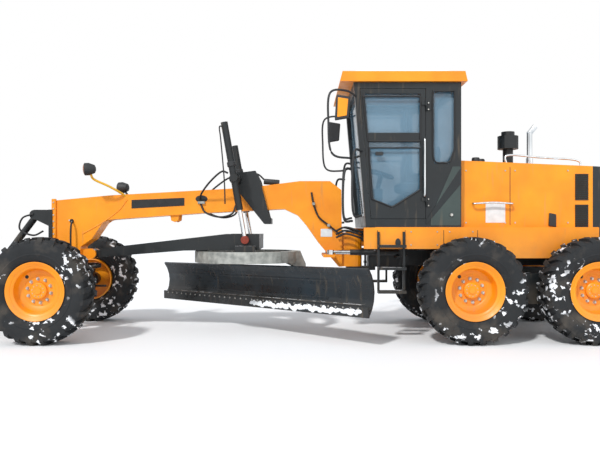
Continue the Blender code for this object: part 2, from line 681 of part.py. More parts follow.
def wheel_end(side, name):
    """The leaning yoke and the steering knuckle of one front wheel."""
    yoke, knuckle = name + "_yoke", name + "_knuckle"
    axis(yoke, (FRONT_AXLE_X, side * LEAN_Y, HUB_Z), "front_axle")
    near, far = AXLE_HALF_X + SEAT, AXLE_HALF_X + 0.03
    pieces = [
        box(
            (FRONT_AXLE_X - far, FRONT_AXLE_X + far),
            (side * 0.66, side * 0.72),
            (HUB_Z - 0.16, HUB_Z + 0.16),
        ),
    ]
    for end in (-1, 1):
        cheek_x = (FRONT_AXLE_X + end * near, FRONT_AXLE_X + end * far)
        pieces.append(box(cheek_x, (side * 0.50, side * 0.70), (HUB_Z - 0.06, HUB_Z + 0.06)))
        arm_z = (HUB_Z + end * (0.12 + SEAT), HUB_Z + end * 0.16)
        pieces.append(
            box(
                (FRONT_AXLE_X - 0.06, FRONT_AXLE_X + 0.06),
                (side * 0.70, side * (KINGPIN_Y + 0.05)),
                arm_z,
            ),
        )
    back = LEAN_BAR_X + 0.022 + SEAT
    pieces.append(
        box(
            (FRONT_AXLE_X - far, FRONT_AXLE_X + far),
            (side * 0.58, side * 0.71),
            (HUB_Z + 0.1, LEAN_BAR_Z + 0.035),
        ),
    )
    pieces.append(
        box(
            (back, FRONT_AXLE_X + far - 0.005),
            (side * 0.50, side * 0.60),
            (LEAN_BAR_Z - 0.04, LEAN_BAR_Z + 0.04),
        ),
    )
    node(yoke, DARK, yoke, pieces)
    axis(knuckle, (FRONT_AXLE_X, side * KINGPIN_Y, HUB_Z), yoke)
    arm = [(FRONT_AXLE_X, KINGPIN_Y - 0.025), (FRONT_AXLE_X, KINGPIN_Y + 0.025)]
    arm += arc((STEERING_ARM_X, KINGPIN_Y), 0.025, 90, 270, 4)
    arm = [(x, side * y) for x, y in arm]
    pieces = [
        box(
            (FRONT_AXLE_X - 0.05, FRONT_AXLE_X + 0.05),
            (side * (KINGPIN_Y - 0.06), side * 0.95),
            (HUB_Z - 0.12, HUB_Z + 0.12),
        ),
        rod(
            (FRONT_AXLE_X, side * 0.94, HUB_Z),
            (FRONT_AXLE_X, side * (HALF_TRACK + FRONT_DISC - SEAT), HUB_Z),
            0.10,
            12,
        ),
        plate(arm, HUB_Z - 0.12, HUB_Z - 0.09, PLAN),
    ]
    node(knuckle, DARK, knuckle, pieces)


def lean_bar():
    """The lean bar between the two yokes."""
    axis("lean_bar", (LEAN_BAR_X, 0.54, LEAN_BAR_Z), "left_yoke")
    pieces = [rod((LEAN_BAR_X, -0.54, LEAN_BAR_Z), (LEAN_BAR_X, 0.54, LEAN_BAR_Z), 0.02, 10)]
    for side in (-1, 1):
        pieces.append(
            box(
                (LEAN_BAR_X - 0.022, LEAN_BAR_X + 0.022),
                (side * 0.50, side * 0.58),
                (LEAN_BAR_Z - 0.03, LEAN_BAR_Z + 0.03),
            ),
        )
    node("lean_bar", DARK, "lean_bar", pieces)


def drawbar():
    """The A-shaped drawbar, with its front eye, lift lugs and circle shoes."""
    axis("drawbar", BALL, "front")
    plan = [
        (BALL.x - 0.12, -0.06),
        (0.95, -0.50),
        (0.55, -0.50),
        (0.55, 0.50),
        (0.95, 0.50),
        (BALL.x - 0.12, 0.06),
    ]
    inside = [(2.35, 0), (1.00, -0.34), (0.80, -0.34), (0.80, 0.34), (1.00, 0.34)]
    side = [(BALL.x, 1.04), (BALL.x, 1.16), (1.00, 1.38), (0.55, 1.38), (0.55, 1.17), (1.60, 1.15)]
    pieces = [plate(plan, 0.9, 1.5, PLAN)]
    eye = rod((BALL.x, -0.07, BALL.z), (BALL.x, 0.07, BALL.z), 0.07)
    neck = box((BALL.x - 0.20, BALL.x), (-0.055, 0.055), (BALL.z - 0.05, BALL.z + 0.05))
    late = [neck, eye]
    for sign in (-1, 1):
        lug_y = sorted((sign * 0.44, sign * (LIFT_Y - 0.03 - SEAT)))
        lug = [(0.60, 1.20), (0.86, 1.20), (0.80, 1.34), *arc(LIFT_EYE, 0.05, 0, 180, 5)]
        late.append(plate(lug, *lug_y))
        late.append(box((0.60, 0.86), (sign * 0.44, sign * 0.70), (CIRCLE_Z[1] + SEAT, 1.22)))
    late.append(box((1.28, 1.44), (-0.30, 0.30), (CIRCLE_Z[1] + SEAT, 1.20)))
    hole = rod((BALL.x, -0.2, BALL.z), (BALL.x, 0.2, BALL.z), (0.03 + BORE_GAP) / math.cos(math.pi / 16))
    windows = plate(inside, 0.8, 1.6, PLAN)
    body = node("drawbar", DARK, "drawbar", pieces, [windows], plate(side, -1, 1), late)
    cut_later(body, hole)


def cut_later(body, hole):
    """Bores a finished node."""
    hole.data.transform(Matrix.Translation(-places[body.name]))
    hole.parent = body.parent
    modifier = body.modifiers.new("bore", "BOOLEAN")
    modifier.operation = "DIFFERENCE"
    modifier.object = hole


def blade_arc(offset):
    """Points of the mouldboard's curve, bottom to top, at an offset behind its face."""
    radius = (BLADE_HEIGHT**2 / 4 + BLADE_SAG**2) / (2 * BLADE_SAG)
    half = math.degrees(math.asin(BLADE_HEIGHT / 2 / radius))
    centre = (radius - BLADE_SAG, BLADE_BOTTOM + BLADE_HEIGHT / 2)
    return arc(centre, radius + offset, 180 + half, 180 - half, 6)


def circle_and_blade():
    """The circle with its two arms, the tilting carrier and the sliding mouldboard."""
    axis("circle", (CIRCLE_X, 0, CIRCLE_Z[1]), "drawbar")
    ring = rod((CIRCLE_X, 0, CIRCLE_Z[0]), (CIRCLE_X, 0, CIRCLE_Z[1]), CIRCLE_RADIUS, 36)
    bore = rod((CIRCLE_X, 0, 0.5), (CIRCLE_X, 0, 1.5), CIRCLE_RADIUS - 0.12, 36)
    arm = [
        (-0.05, 1.10),
        (-0.36, 1.12),
        (-0.46, 0.95),
        (-0.42, 0.60),
        (-0.36, 0.43),
        (-0.24, 0.43),
        (-0.24, 0.56),
        (-0.30, 0.80),
        (-0.24, 0.93),
        (-0.05, 1.00),
    ]
    arms = [plate(arm, *sorted((s * ARM_Y[0], s * ARM_Y[1])), SIDE, BLADE_FRAME) for s in (-1, 1)]
    node("circle", STEEL, "circle", [ring], [bore], after=arms)
    pivot = BLADE_FRAME @ Vector((TILT_PIVOT[0], 0, TILT_PIVOT[1]))
    axis("blade_carrier", pivot, "circle")
    reach = ARM_Y[0] - SEAT
    back = -BLADE_SAG - BLADE_PLATE
    face = back - 0.04 - SEAT
    pieces = [
        box(
            (TILT_PIVOT[0] - 0.04, TILT_PIVOT[0] + 0.04),
            (-reach, reach),
            (TILT_PIVOT[1] - 0.04, TILT_PIVOT[1] + 0.04),
            BLADE_FRAME,
        ),
        box(
            (TILT_PIVOT[0] - 0.03, TILT_PIVOT[0] + 0.02),
            (-reach + 0.1, reach - 0.1),
            (0.50, 0.84),
            BLADE_FRAME,
        ),
    ]
    for z in RAIL_HEIGHTS:
        pieces.append(
            box((TILT_PIVOT[0], face), (-reach + 0.02, reach - 0.02), (z - 0.025, z + 0.025), BLADE_FRAME)
        )
    node("blade_carrier", DARK, "blade_carrier", pieces)
    axis("mouldboard", BLADE_FRAME @ Vector((0, 0, BLADE_BOTTOM)), "blade_carrier")
    profile = blade_arc(0) + list(reversed(blade_arc(BLADE_PLATE)))
    low, high = BLADE_SHIFT - BLADE_LENGTH / 2, BLADE_SHIFT + BLADE_LENGTH / 2
    pieces = [plate(profile, low, high, SIDE, BLADE_FRAME)]
    for z in RAIL_HEIGHTS:
        pieces.append(box((back - 0.04, back + 0.05), (-1.45, 1.45), (z - 0.03, z + 0.03), BLADE_FRAME))
    edge = box((-0.02, 0.01), (low, high), (BLADE_BOTTOM - 0.03, BLADE_BOTTOM + 0.10), BLADE_FRAME)
    node("mouldboard", DARK, "mouldboard", [*pieces, edge])


def cylinder(name, parent, top, eye, above, below, tip, hinge, radius=CYLINDER_RADIUS):
    """A barrel from above to below its trunnion, and a rod from its eye up into it."""
    top, eye = Vector(top), Vector(eye)
    along = (eye - top).normalized()
    axis(name + "_barrel", top, parent)
    barrel = rod(top - along * above, top + along * below, radius)
    inner = rod(
        top - along * (above - 0.04),
        top + along * (below + 0.1),
        (ROD_RADIUS + BORE_GAP) / math.cos(math.pi / 16),
    )
    trunnions = [rod(top - hinge, top + hinge, 0.055, 12)]
    node(name + "_barrel", DARK, name + "_barrel", [barrel, *trunnions], [inner])
    axis(name + "_rod", eye, name + "_barrel")
    shaft = rod(top - along * tip, eye, ROD_RADIUS)
    across = hinge.normalized() * 0.03
    node(name + "_rod", CHROME, name + "_rod", [shaft, rod(eye - across, eye + across, 0.05, 12)])


def cylinders():
    """Every hydraulic cylinder that holds a moving group."""
    for name, side in SIDES:
        across = Vector((0, 0.07 - SEAT, 0))
        top = (LIFT_TRUNNION[0], side * LIFT_Y, LIFT_TRUNNION[1])
        eye = (LIFT_EYE[0], side * LIFT_Y, LIFT_EYE[1])
        cylinder(
            name + "_lift",
            "front",
            top,
            eye,
            LIFT_BARREL_TOP[name],
            0.437,
            LIFT_BARREL_TOP[name] - 0.12,
            across,
        )
        up = Vector((0, 0, 0.045))
        start = (PIN_REAR[0], side * PIN_REAR[1], PIN_Z)
        end = (PIN_FRONT[0], side * PIN_FRONT[1], PIN_Z)
        cylinder(name + "_articulation", "rear", start, end, 0.0, 0.70, -0.26, up, 0.04)
    cylinder(
        "front_lift",
        "front",
        (FRONT_LIFT_TOP[0], 0, FRONT_LIFT_TOP[1]),
        (FRONT_LIFT_EYE[0], 0, FRONT_LIFT_EYE[1]),
        0.0,
        0.66,
        -0.38,
        Vector((0, FRONT_EAR_Y[0], 0)),
    )


def front_linkage():
    """The hinged lift frame at the front, with its coupling plate."""
    pivot = FRONT_LIFT_PIVOT
    axis("front_lift_frame", (pivot[0], 0, pivot[1]), "front")
    pieces = []
    arm = [*arc(pivot, 0.06, 90, 270, 5), (4.52, 0.50), (4.52, 0.86), (4.30, 0.80)]
    for side in (-1, 1):
        pieces.append(plate(arm, *sorted((side * LIFT_ARM_Y[0], side * LIFT_ARM_Y[1]))))
        ear = [(4.20, 0.66), *arc(FRONT_LIFT_EYE, 0.06, 0, 180, 5), (4.50, 0.60)]
        pieces.append(plate(ear, *sorted((side * (0.03 + SEAT), side * 0.07))))
    pieces.append(box((4.26, 4.52), (-0.16, 0.16), (0.56, 0.68)))
    pieces.append(box((4.50, FRONT_END_X), (-0.45, 0.45), (0.38, 0.92)))
    node("front_lift_frame", DARK, "front_lift_frame", pieces, solver="MANIFOLD")


axis("rear")
rear_frame()
deck()
cab()
engine_bay()
rear_axle()
front_frame()
saddle()
front_bracket()
front_axle()
for name, side in SIDES:
    ladder(name + "_ladder", side)
    door(name + "_door", side)
    tandem(name + "_tandem_case", side)
    wheel_end(side, name)
    wheel(name + "_front", (FRONT_AXLE_X, side * HALF_TRACK, HUB_Z), side, FRONT_DISC)
    wheel(name + "_mid", (MID_X, side * HALF_TRACK, HUB_Z), side, REAR_DISC)
    wheel(name + "_rear", (REAR_X, side * HALF_TRACK, HUB_Z), side, REAR_DISC)
lean_bar()
drawbar()
circle_and_blade()
front_linkage()
cylinders()
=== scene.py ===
# %% [markdown]
# # A motor grader, dressed
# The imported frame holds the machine's solids and joints. These cells add what a solid doesn't have: paint,
# rubber, glass, tread, bolts, hoses, lamps and rails. Each new piece rides on the body that carries it.

# %% Load the frame and keep its box
import math

import bmesh
import bpy
import numpy as np
from mathutils import Matrix, Vector


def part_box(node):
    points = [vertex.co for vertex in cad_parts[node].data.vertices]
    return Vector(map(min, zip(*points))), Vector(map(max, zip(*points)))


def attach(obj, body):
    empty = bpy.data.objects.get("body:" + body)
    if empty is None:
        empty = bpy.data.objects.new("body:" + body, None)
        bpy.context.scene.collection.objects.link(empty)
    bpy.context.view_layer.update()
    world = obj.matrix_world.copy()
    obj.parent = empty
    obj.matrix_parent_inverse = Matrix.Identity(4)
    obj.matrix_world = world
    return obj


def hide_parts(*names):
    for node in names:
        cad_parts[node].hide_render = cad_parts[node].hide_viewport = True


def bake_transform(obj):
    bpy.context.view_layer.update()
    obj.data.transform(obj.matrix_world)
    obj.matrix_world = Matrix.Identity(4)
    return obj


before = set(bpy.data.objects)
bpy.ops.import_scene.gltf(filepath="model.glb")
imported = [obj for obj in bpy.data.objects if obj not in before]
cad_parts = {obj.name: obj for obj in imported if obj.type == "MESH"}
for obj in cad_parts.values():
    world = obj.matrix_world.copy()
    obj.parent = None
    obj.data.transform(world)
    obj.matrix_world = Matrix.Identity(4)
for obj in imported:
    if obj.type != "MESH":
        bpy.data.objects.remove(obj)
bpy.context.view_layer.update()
TAU = 2 * math.pi

# %% [markdown]
# ## Finishes
# Every finish is built from nodes. One function adds a node with its settings and its links, so a material
# reads as a list of steps. Colours are written as the eye names them, in sRGB, and turned to linear once.


# %% The node helper and the colour helper
def add(tree, kind, links=None, **settings):
    """Adds one shader node; links holds a socket or a value for each input."""
    made = tree.nodes.new("ShaderNode" + kind)
    for key, value in settings.items():
        setattr(made, key, value)
    for key, value in (links or {}).items():
        if isinstance(value, bpy.types.NodeSocket):
            tree.links.new(value, made.inputs[key])
        else:
            made.inputs[key].default_value = value
    return made


def linear(code):
    """The linear colour of an sRGB hex code: (c + 0.055) / 1.055 to the power 2.4 above the toe."""
    share = np.array([int(code[i : i + 2], 16) for i in (1, 3, 5)]) / 255
    toe = share <= 0.04045
    return (*np.where(toe, share / 12.92, ((share + 0.055) / 1.055) ** 2.4).tolist(), 1.0)


def blank(name, roughness, metallic=0.0):
    """A new material: itself, its node tree, its shader and its Object coordinates."""
    made = bpy.data.materials.new(name)
    made.use_nodes = True
    tree = made.node_tree
    shader = tree.nodes["Principled BSDF"]
    shader.inputs["Roughness"].default_value = roughness
    shader.inputs["Metallic"].default_value = metallic
    return made, tree, shader, add(tree, "TexCoord").outputs["Object"]


# %% [markdown]
# Sprayed machine enamel is smooth and slightly glossy. Weather changes it in layers: the colour fades in
# patches of about half a metre, dust sticks to the lowest metre, dirty water leaves upright streaks, and
# snow stays on faces that look up. Each layer is a noise pattern turned into a share of one more colour.


# %% Weathered enamel
DUST = linear("#8E7B62")
SNOW = linear("#F2F4F7")


def enamel(name, light, dark, roughness, dust_to=0.9, dust=0.45, snow=0.0, patch=7.0):
    """Weathered paint. snow is the share of upward faces that it covers."""
    made, tree, shader, place = blank(name, roughness)
    fade = add(tree, "TexNoise", {"Vector": place, "Scale": 2.2, "Detail": 4.0})
    span = {"Value": fade.outputs["Fac"], "From Min": 0.3, "From Max": 0.7}
    faded = add(tree, "MapRange", span)
    coat = add(tree, "Mix", {"Factor": faded.outputs[0], 6: linear(dark), 7: linear(light)}, data_type="RGBA")
    point = add(tree, "SeparateXYZ", {0: place})
    low = add(tree, "Math", {0: dust_to, 1: point.outputs["Z"]}, operation="SUBTRACT")
    grit = add(tree, "TexNoise", {"Vector": place, "Scale": 9.0, "Detail": 6.0})
    share = add(tree, "Math", {0: low.outputs[0], 1: grit.outputs["Fac"]}, operation="MULTIPLY")
    share = add(tree, "Math", {0: share.outputs[0], 1: 0.0}, operation="MAXIMUM")
    share = add(tree, "Math", {0: share.outputs[0], 1: dust}, operation="MINIMUM")
    dusty = add(tree, "Mix", {"Factor": share.outputs[0], 6: coat.outputs[2], 7: DUST}, data_type="RGBA")
    tall = add(tree, "Mapping", {"Vector": place, "Scale": (6.0, 6.0, 0.6)})
    drip = add(tree, "TexNoise", {"Vector": tall.outputs[0], "Scale": 3.0, "Detail": 8.0})
    span = {"Value": drip.outputs["Fac"], "From Min": 0.60, "From Max": 0.80, "To Max": 0.35}
    run = add(tree, "MapRange", span)
    colour = add(tree, "Mix", {"Factor": run.outputs[0], 6: dusty.outputs[2], 7: DUST}, data_type="RGBA")
    if snow:
        face = add(tree, "SeparateXYZ", {0: add(tree, "NewGeometry").outputs["Normal"]})
        up = add(tree, "Math", {0: face.outputs["Z"], 1: 0.72}, operation="GREATER_THAN")
        lump = add(tree, "TexNoise", {"Vector": place, "Scale": patch, "Detail": 7.0})
        span = {"Value": lump.outputs["Fac"], "From Min": 0.99 - snow, "From Max": 1.02 - snow}
        cover = add(tree, "MapRange", span)
        both = add(tree, "Math", {0: up.outputs[0], 1: cover.outputs[0]}, operation="MULTIPLY")
        colour = add(
            tree, "Mix", {"Factor": both.outputs[0], 6: colour.outputs[2], 7: SNOW}, data_type="RGBA"
        )
    tree.links.new(colour.outputs[2], shader.inputs["Base Color"])
    span = {"Value": grit.outputs["Fac"], "From Min": 0.3, "From Max": 0.8}
    dull = add(tree, "MapRange", {**span, "To Min": roughness - 0.08, "To Max": roughness + 0.18})
    tree.links.new(dull.outputs[0], shader.inputs["Roughness"])
    peel = add(tree, "TexNoise", {"Vector": place, "Scale": 140.0})
    relief = add(tree, "Bump", {"Height": peel.outputs["Fac"], "Distance": 0.0006})
    tree.links.new(relief.outputs[0], shader.inputs["Normal"])
    return made


# %% [markdown]
# Bare metal, moulded rubber and cloth need less: a grain that shifts between two shades, with the same grain
# as relief. The grain's scale is the size that shows from a few metres away.


# %% Grained finishes
def grained(name, light, dark, roughness, metallic=0.0, scale=30.0, stretch=(1.0, 1.0, 1.0), depth=0.0006):
    """A finish with one grain: two shades, two roughnesses and a relief in metres."""
    made, tree, shader, place = blank(name, roughness, metallic)
    turned = add(tree, "Mapping", {"Vector": place, "Scale": stretch})
    grain = add(tree, "TexNoise", {"Vector": turned.outputs[0], "Scale": scale, "Detail": 6.0})
    span = {"Value": grain.outputs["Fac"], "From Min": 0.3, "From Max": 0.75}
    shade = add(tree, "MapRange", span)
    colour = add(
        tree, "Mix", {"Factor": shade.outputs[0], 6: linear(dark), 7: linear(light)}, data_type="RGBA"
    )
    tree.links.new(colour.outputs[2], shader.inputs["Base Color"])
    dull = add(tree, "MapRange", {**span, "To Min": max(roughness - 0.06, 0.02), "To Max": roughness + 0.12})
    tree.links.new(dull.outputs[0], shader.inputs["Roughness"])
    relief = add(tree, "Bump", {"Height": grain.outputs["Fac"], "Distance": depth})
    tree.links.new(relief.outputs[0], shader.inputs["Normal"])
    return made


def packed_rubber():
    """Moulded tyre rubber, with brown dust in patches and white snow pressed between the bars."""
    made, tree, shader, place = blank("tyre_rubber", 0.85)
    mottle = add(tree, "TexNoise", {"Vector": place, "Scale": 6.0, "Detail": 5.0})
    colours = {6: linear("#101214"), 7: linear("#24272A")}
    rubber = add(tree, "Mix", {"Factor": mottle.outputs["Fac"], **colours}, data_type="RGBA")
    soil = add(tree, "TexNoise", {"Vector": place, "Scale": 3.5, "Detail": 8.0})
    span = {"Value": soil.outputs["Fac"], "From Min": 0.50, "From Max": 0.72, "To Max": 0.60}
    colours = {6: rubber.outputs[2], 7: linear("#5E564C")}
    dusty = add(tree, "Mix", {"Factor": add(tree, "MapRange", span).outputs[0], **colours}, data_type="RGBA")
    crumb = add(tree, "TexNoise", {"Vector": place, "Scale": 13.0, "Detail": 9.0})
    span = {"Value": crumb.outputs["Fac"], "From Min": 0.575, "From Max": 0.605}
    field = add(tree, "TexNoise", {"Vector": place, "Scale": 2.2, "Detail": 2.0})
    area = {"Value": field.outputs["Fac"], "From Min": 0.49, "From Max": 0.55}
    parts = {0: add(tree, "MapRange", span).outputs[0], 1: add(tree, "MapRange", area).outputs[0]}
    snow = add(tree, "Math", parts, operation="MULTIPLY")
    colours = {6: dusty.outputs[2], 7: SNOW}
    colour = add(tree, "Mix", {"Factor": snow.outputs[0], **colours}, data_type="RGBA")
    tree.links.new(colour.outputs[2], shader.inputs["Base Color"])
    grain = add(tree, "TexNoise", {"Vector": place, "Scale": 60.0, "Detail": 5.0})
    relief = add(tree, "Bump", {"Height": grain.outputs["Fac"], "Distance": 0.002})
    tree.links.new(relief.outputs[0], shader.inputs["Normal"])
    return made


def cab_glass():
    """Tinted safety glass: a dark blue tint with pale blue patches of painted reflection, and the cab shows
    through.
    """
    made, tree, shader, place = blank("window_glass", 0.05)
    # Painted reflection: the pale blue patches are painted reflection; the dark blue is the glass's own tint.
    reflection_patches = add(tree, "TexNoise", {"Vector": place, "Scale": 1.2, "Detail": 3.0})
    colours = {6: linear("#35566B"), 7: linear("#86B2CC")}
    colour = add(tree, "Mix", {"Factor": reflection_patches.outputs["Fac"], **colours}, data_type="RGBA")
    tree.links.new(colour.outputs[2], shader.inputs["Base Color"])
    shader.inputs["Alpha"].default_value = 0.52
    shader.inputs["Specular IOR Level"].default_value = 0.8
    return made


# %% The finishes of this machine
ORANGE = enamel("grader_orange", "#F99B08", "#E88605", 0.42, dust=0.30, snow=0.44)
ROOF = enamel("roof_orange", "#F99B08", "#E88605", 0.42, snow=0.62, patch=2.5)
RIM = enamel("rim_orange", "#FBA008", "#EC8A05", 0.38, dust_to=0.75, dust=0.25)
BAND = enamel("band_orange", "#F99B08", "#E88605", 0.45, dust_to=1.5, dust=0.22)
LAMP_YELLOW = enamel("lamp_yellow", "#F6C02A", "#D89A14", 0.4)
TEAL = enamel("cab_black", "#10191D", "#0A1013", 0.34, dust_to=0.2)
BLACK = enamel("frame_black", "#10171A", "#0A0E10", 0.45, dust_to=0.8, dust=0.12, snow=0.40)
PANEL = enamel("panel_grey_green", "#3A4744", "#2C3836", 0.45, dust_to=0.4)
BLADE = enamel("blade_black", "#0F202A", "#081218", 0.30, dust_to=0.6, dust=0.06)
EDGE = enamel("cutting_edge", "#43474A", "#24292C", 0.5, snow=0.5)
STEEL = grained("circle_steel", "#B9BAB4", "#80837F", 0.48, 0.45, 12.0)
CHROME = grained("chrome_plate", "#E9EBEC", "#C4C8CB", 0.14, 1.0, 20.0, (1.0, 1.0, 0.2))
NUT = grained("zinc_nut", "#D6D5D0", "#A09D97", 0.35, 0.7)
RUST = grained("rusty_eye", "#A2432F", "#6A2A20", 0.7, 0.2)
RUBBER = packed_rubber()
GLASS = cab_glass()
HOSE = grained("hose_rubber", "#1C1D1F", "#111214", 0.6, scale=80.0)
FABRIC = grained("seat_cloth", "#34363B", "#222428", 0.9, scale=220.0, depth=0.002)
TRIM = grained("moulded_trim", "#2A2C2E", "#1C1E20", 0.55, scale=160.0)
# Painted shade: this dark brown finish stands for the shaded inside of the hood vents, with a mesh-like
# grain.
VENT_SHADE = grained("vent_painted_shade", "#3A2D1C", "#16110C", 0.7, scale=90.0, depth=0.002)
SHEET = grained("blank_sheet", "#E4E6E6", "#CDD0D0", 0.5, scale=12.0)
SIGN = grained("blank_sign", "#1D1F20", "#131415", 0.3, scale=12.0)
SNOW_PILE = grained("packed_snow", "#FBFCFD", "#E6EAEE", 0.7, scale=14.0, depth=0.004)
LENS = grained("lamp_lens", "#A8602A", "#6E3312", 0.2, scale=50.0)

FINISHES = {
    "cab_frame": TEAL,
    "cab_roof": ROOF,
    "steering_console": TRIM,
    "engine_block": STEEL,
    "circle": STEEL,
    "radiator_hood": TEAL,
    "mouldboard": BLADE,
    "windshield": GLASS,
    "rear_window": GLASS,
    "left_door": TEAL,
    "right_door": TEAL,
    "left_door_glass": GLASS,
    "right_door_glass": GLASS,
    "deck_and_skirts": BAND,
    "engine_hood": ORANGE,
    "front_frame": ORANGE,
    "front_axle": ORANGE,
}
for name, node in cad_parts.items():
    finish = CHROME if name.endswith(("_rod", "exhaust_stack")) else FINISHES.get(name, BLACK)
    node.data.materials.clear()
    node.data.materials.append(finish)
print("finishes:", len(bpy.data.materials))

# %% [markdown]
# ## Ways of making a piece
# A turned piece is a profile swept round an axis, a hose is a circle swept along a path, and a plate is an
# outline given thickness. Each is worked out as whole arrays and put into a mesh in one go.


# %% Put a mesh in the scene
def keep(made, finish, body, smooth=35):
    """Gives a piece its finish, its shading and the body it rides on, if it rides on one."""
    made.data.materials.append(finish)
    made.data.shade_smooth()
    made.data.set_sharp_from_angle(angle=math.radians(smooth))
    if body:
        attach(made, body)
    return made


def linked(name, shape, finish, body, smooth=35):
    """Turns an edited shape into a piece with its faces outwards."""
    bmesh.ops.remove_doubles(shape, verts=shape.verts, dist=1e-5)
    bmesh.ops.recalc_face_normals(shape, faces=shape.faces)
    mesh = bpy.data.meshes.new(name)
    shape.to_mesh(mesh)
    shape.free()
    made = bpy.data.objects.new(name, mesh)
    bpy.context.scene.collection.objects.link(made)
    return keep(made, finish, body, smooth)


def surface(name, points, faces, finish, body, smooth=35):
    """A piece from an array of points and a list of faces."""
    mesh = bpy.data.meshes.new(name)
    mesh.from_pydata(np.asarray(points).tolist(), [], [list(map(int, f)) for f in faces])
    shape = bmesh.new()
    shape.from_mesh(mesh)
    return linked(name, shape, finish, body, smooth)


def quads(rows, width, closed=True):
    """The quads of a grid of rows by width; closed joins the last row to the first."""
    ring = np.arange(rows if closed else rows - 1)
    start = ring[:, None] * width + np.arange(width - 1)
    after = ((ring + 1) % rows)[:, None] * width + np.arange(width - 1)
    return np.stack([start, start + 1, after + 1, after], 2).reshape(-1, 4)


def turned(name, profile, centre, axis, finish, body, count=72):
    """A profile of (radius, along) swept round an axis: x = r cos a, y = r sin a, z = along."""
    radius, along = np.array(profile, float).T
    angle = np.arange(count) * TAU / count
    flat = [np.outer(np.cos(angle), radius), np.outer(np.sin(angle), radius), np.tile(along, (count, 1))]
    turn = np.array(Vector(axis).to_track_quat("Z", "Y").to_matrix())
    points = np.stack(flat, 2).reshape(-1, 3) @ turn.T + np.array(centre)
    return surface(name, points, quads(count, len(profile)), finish, body)


def hose(name, knots, radius, finish, body, steps=8, sides=10):
    """A circle carried along a Catmull-Rom path through the knots, with closed ends."""
    knots = np.array(knots, float)
    ends = np.vstack([2 * knots[0] - knots[1], knots, 2 * knots[-1] - knots[-2]])
    t = np.linspace(0, 1, steps, endpoint=False)[:, None]
    spans = []
    for a, b, c, d in zip(ends, ends[1:], ends[2:], ends[3:]):
        bend = 2 * b + (c - a) * t + (2 * a - 5 * b + 4 * c - d) * t**2 + (3 * b - a - 3 * c + d) * t**3
        spans.append(0.5 * bend)
    path = np.vstack([*spans, knots[-1:]])
    ahead = np.gradient(path, axis=0)
    ahead /= np.linalg.norm(ahead, axis=1, keepdims=True)
    side = np.cross(ahead, (0.31, 0.17, 0.93))
    side /= np.linalg.norm(side, axis=1, keepdims=True)
    lift = np.cross(ahead, side)
    angle = np.arange(sides) * TAU / sides
    ring = side[:, None] * np.cos(angle)[:, None] + lift[:, None] * np.sin(angle)[:, None]
    points = (path[:, None] + radius * ring).reshape(-1, 3)
    count = len(path)
    faces = [
        (i * sides + j, i * sides + (j + 1) % sides, (i + 1) * sides + (j + 1) % sides, (i + 1) * sides + j)
        for i in range(count - 1)
        for j in range(sides)
    ]
    faces += [tuple(range(sides)), tuple(range((count - 1) * sides, count * sides))]
    return surface(name, points, faces, finish, body, 50)


def blocks(name, boxes, finish, body, bevel=0.004):
    """Rounded blocks as one piece; each is a pair of opposite corners."""
    shape = bmesh.new()
    for low, high in boxes:
        low, high = Vector(low), Vector(high)
        bmesh.ops.create_cube(shape, size=1, matrix=Matrix.LocRotScale((low + high) / 2, None, high - low))
    bmesh.ops.bevel(shape, geom=shape.edges[:], offset=bevel, segments=2, affect="EDGES")
    return linked(name, shape, finish, body)


def studs(name, centres, axis, radius, height, finish, body, sides=6):
    """Bolt heads or nuts as one piece, each standing on its centre along an axis."""
    shape = bmesh.new()
    axis = Vector(axis).normalized()
    turn = axis.to_track_quat("Z", "Y").to_matrix().to_4x4()
    for centre in centres:
        place = Matrix.Translation(Vector(centre) + axis * height / 2) @ turn
        size = {"radius1": radius, "radius2": 0.82 * radius, "depth": height, "segments": sides}
        bmesh.ops.create_cone(shape, cap_ends=True, matrix=place, **size)
    return linked(name, shape, finish, body, 30)


def slab(name, outline, low, high, finish, body, bevel=0.003):
    """A side-view outline of (x, z) as a rounded plate between two values of y."""
    count = len(outline)
    points = [(x, y, z) for y in (low, high) for x, z in outline]
    faces = [tuple(range(count)), tuple(range(count, 2 * count))]
    faces += [(i, (i + 1) % count, count + (i + 1) % count, count + i) for i in range(count)]
    made = surface(name, points, faces, finish, body, 30)
    soft = made.modifiers.new("edges", "BEVEL")
    soft.width = bevel
    soft.segments = 2
    soft.limit_method = "ANGLE"
    return made


def lying(side, y, thickness):
    """The two values of y of a thin piece that lies on a side."""
    return sorted((side * y, side * (y + thickness)))


def oval(centre, half_x, half_z, count=20):
    """Points of an oval in side view."""
    angle = np.arange(count) * TAU / count
    return list(zip(centre[0] + half_x * np.cos(angle), centre[1] + half_z * np.sin(angle)))


def crowned(name, centre, half, finish, body, power=0.45, lean=0.0, rows=28, columns=40):
    """x = cos^p u cos^p v, y = cos^p u sin^p v, z = sin^p u, each signed, then leaned back."""
    u = np.linspace(-math.pi / 2, math.pi / 2, rows)[:, None]
    v = np.arange(columns) * TAU / columns

    def signed(value):
        return np.sign(value) * np.abs(value) ** power

    x = signed(np.cos(u)) * signed(np.cos(v))
    y = signed(np.cos(u)) * signed(np.sin(v))
    z = signed(np.sin(u)) * np.ones(columns)
    points = np.stack([x, y, z], 2).transpose(1, 0, 2).reshape(-1, 3) * half
    turn = np.array(Matrix.Rotation(lean, 3, "Y"))
    return surface(name, points @ turn.T + centre, quads(columns, rows), finish, body, 60)


# %% [markdown]
# ## Tyres
# A grader tyre is a wide, low carcass with deep slanted bars that alternate from side to side, so that it
# grips soft ground and cleans itself. The carcass is turned. The bars are one array: every bar is the same
# five sections, turned round the wheel and mirrored for the other side.

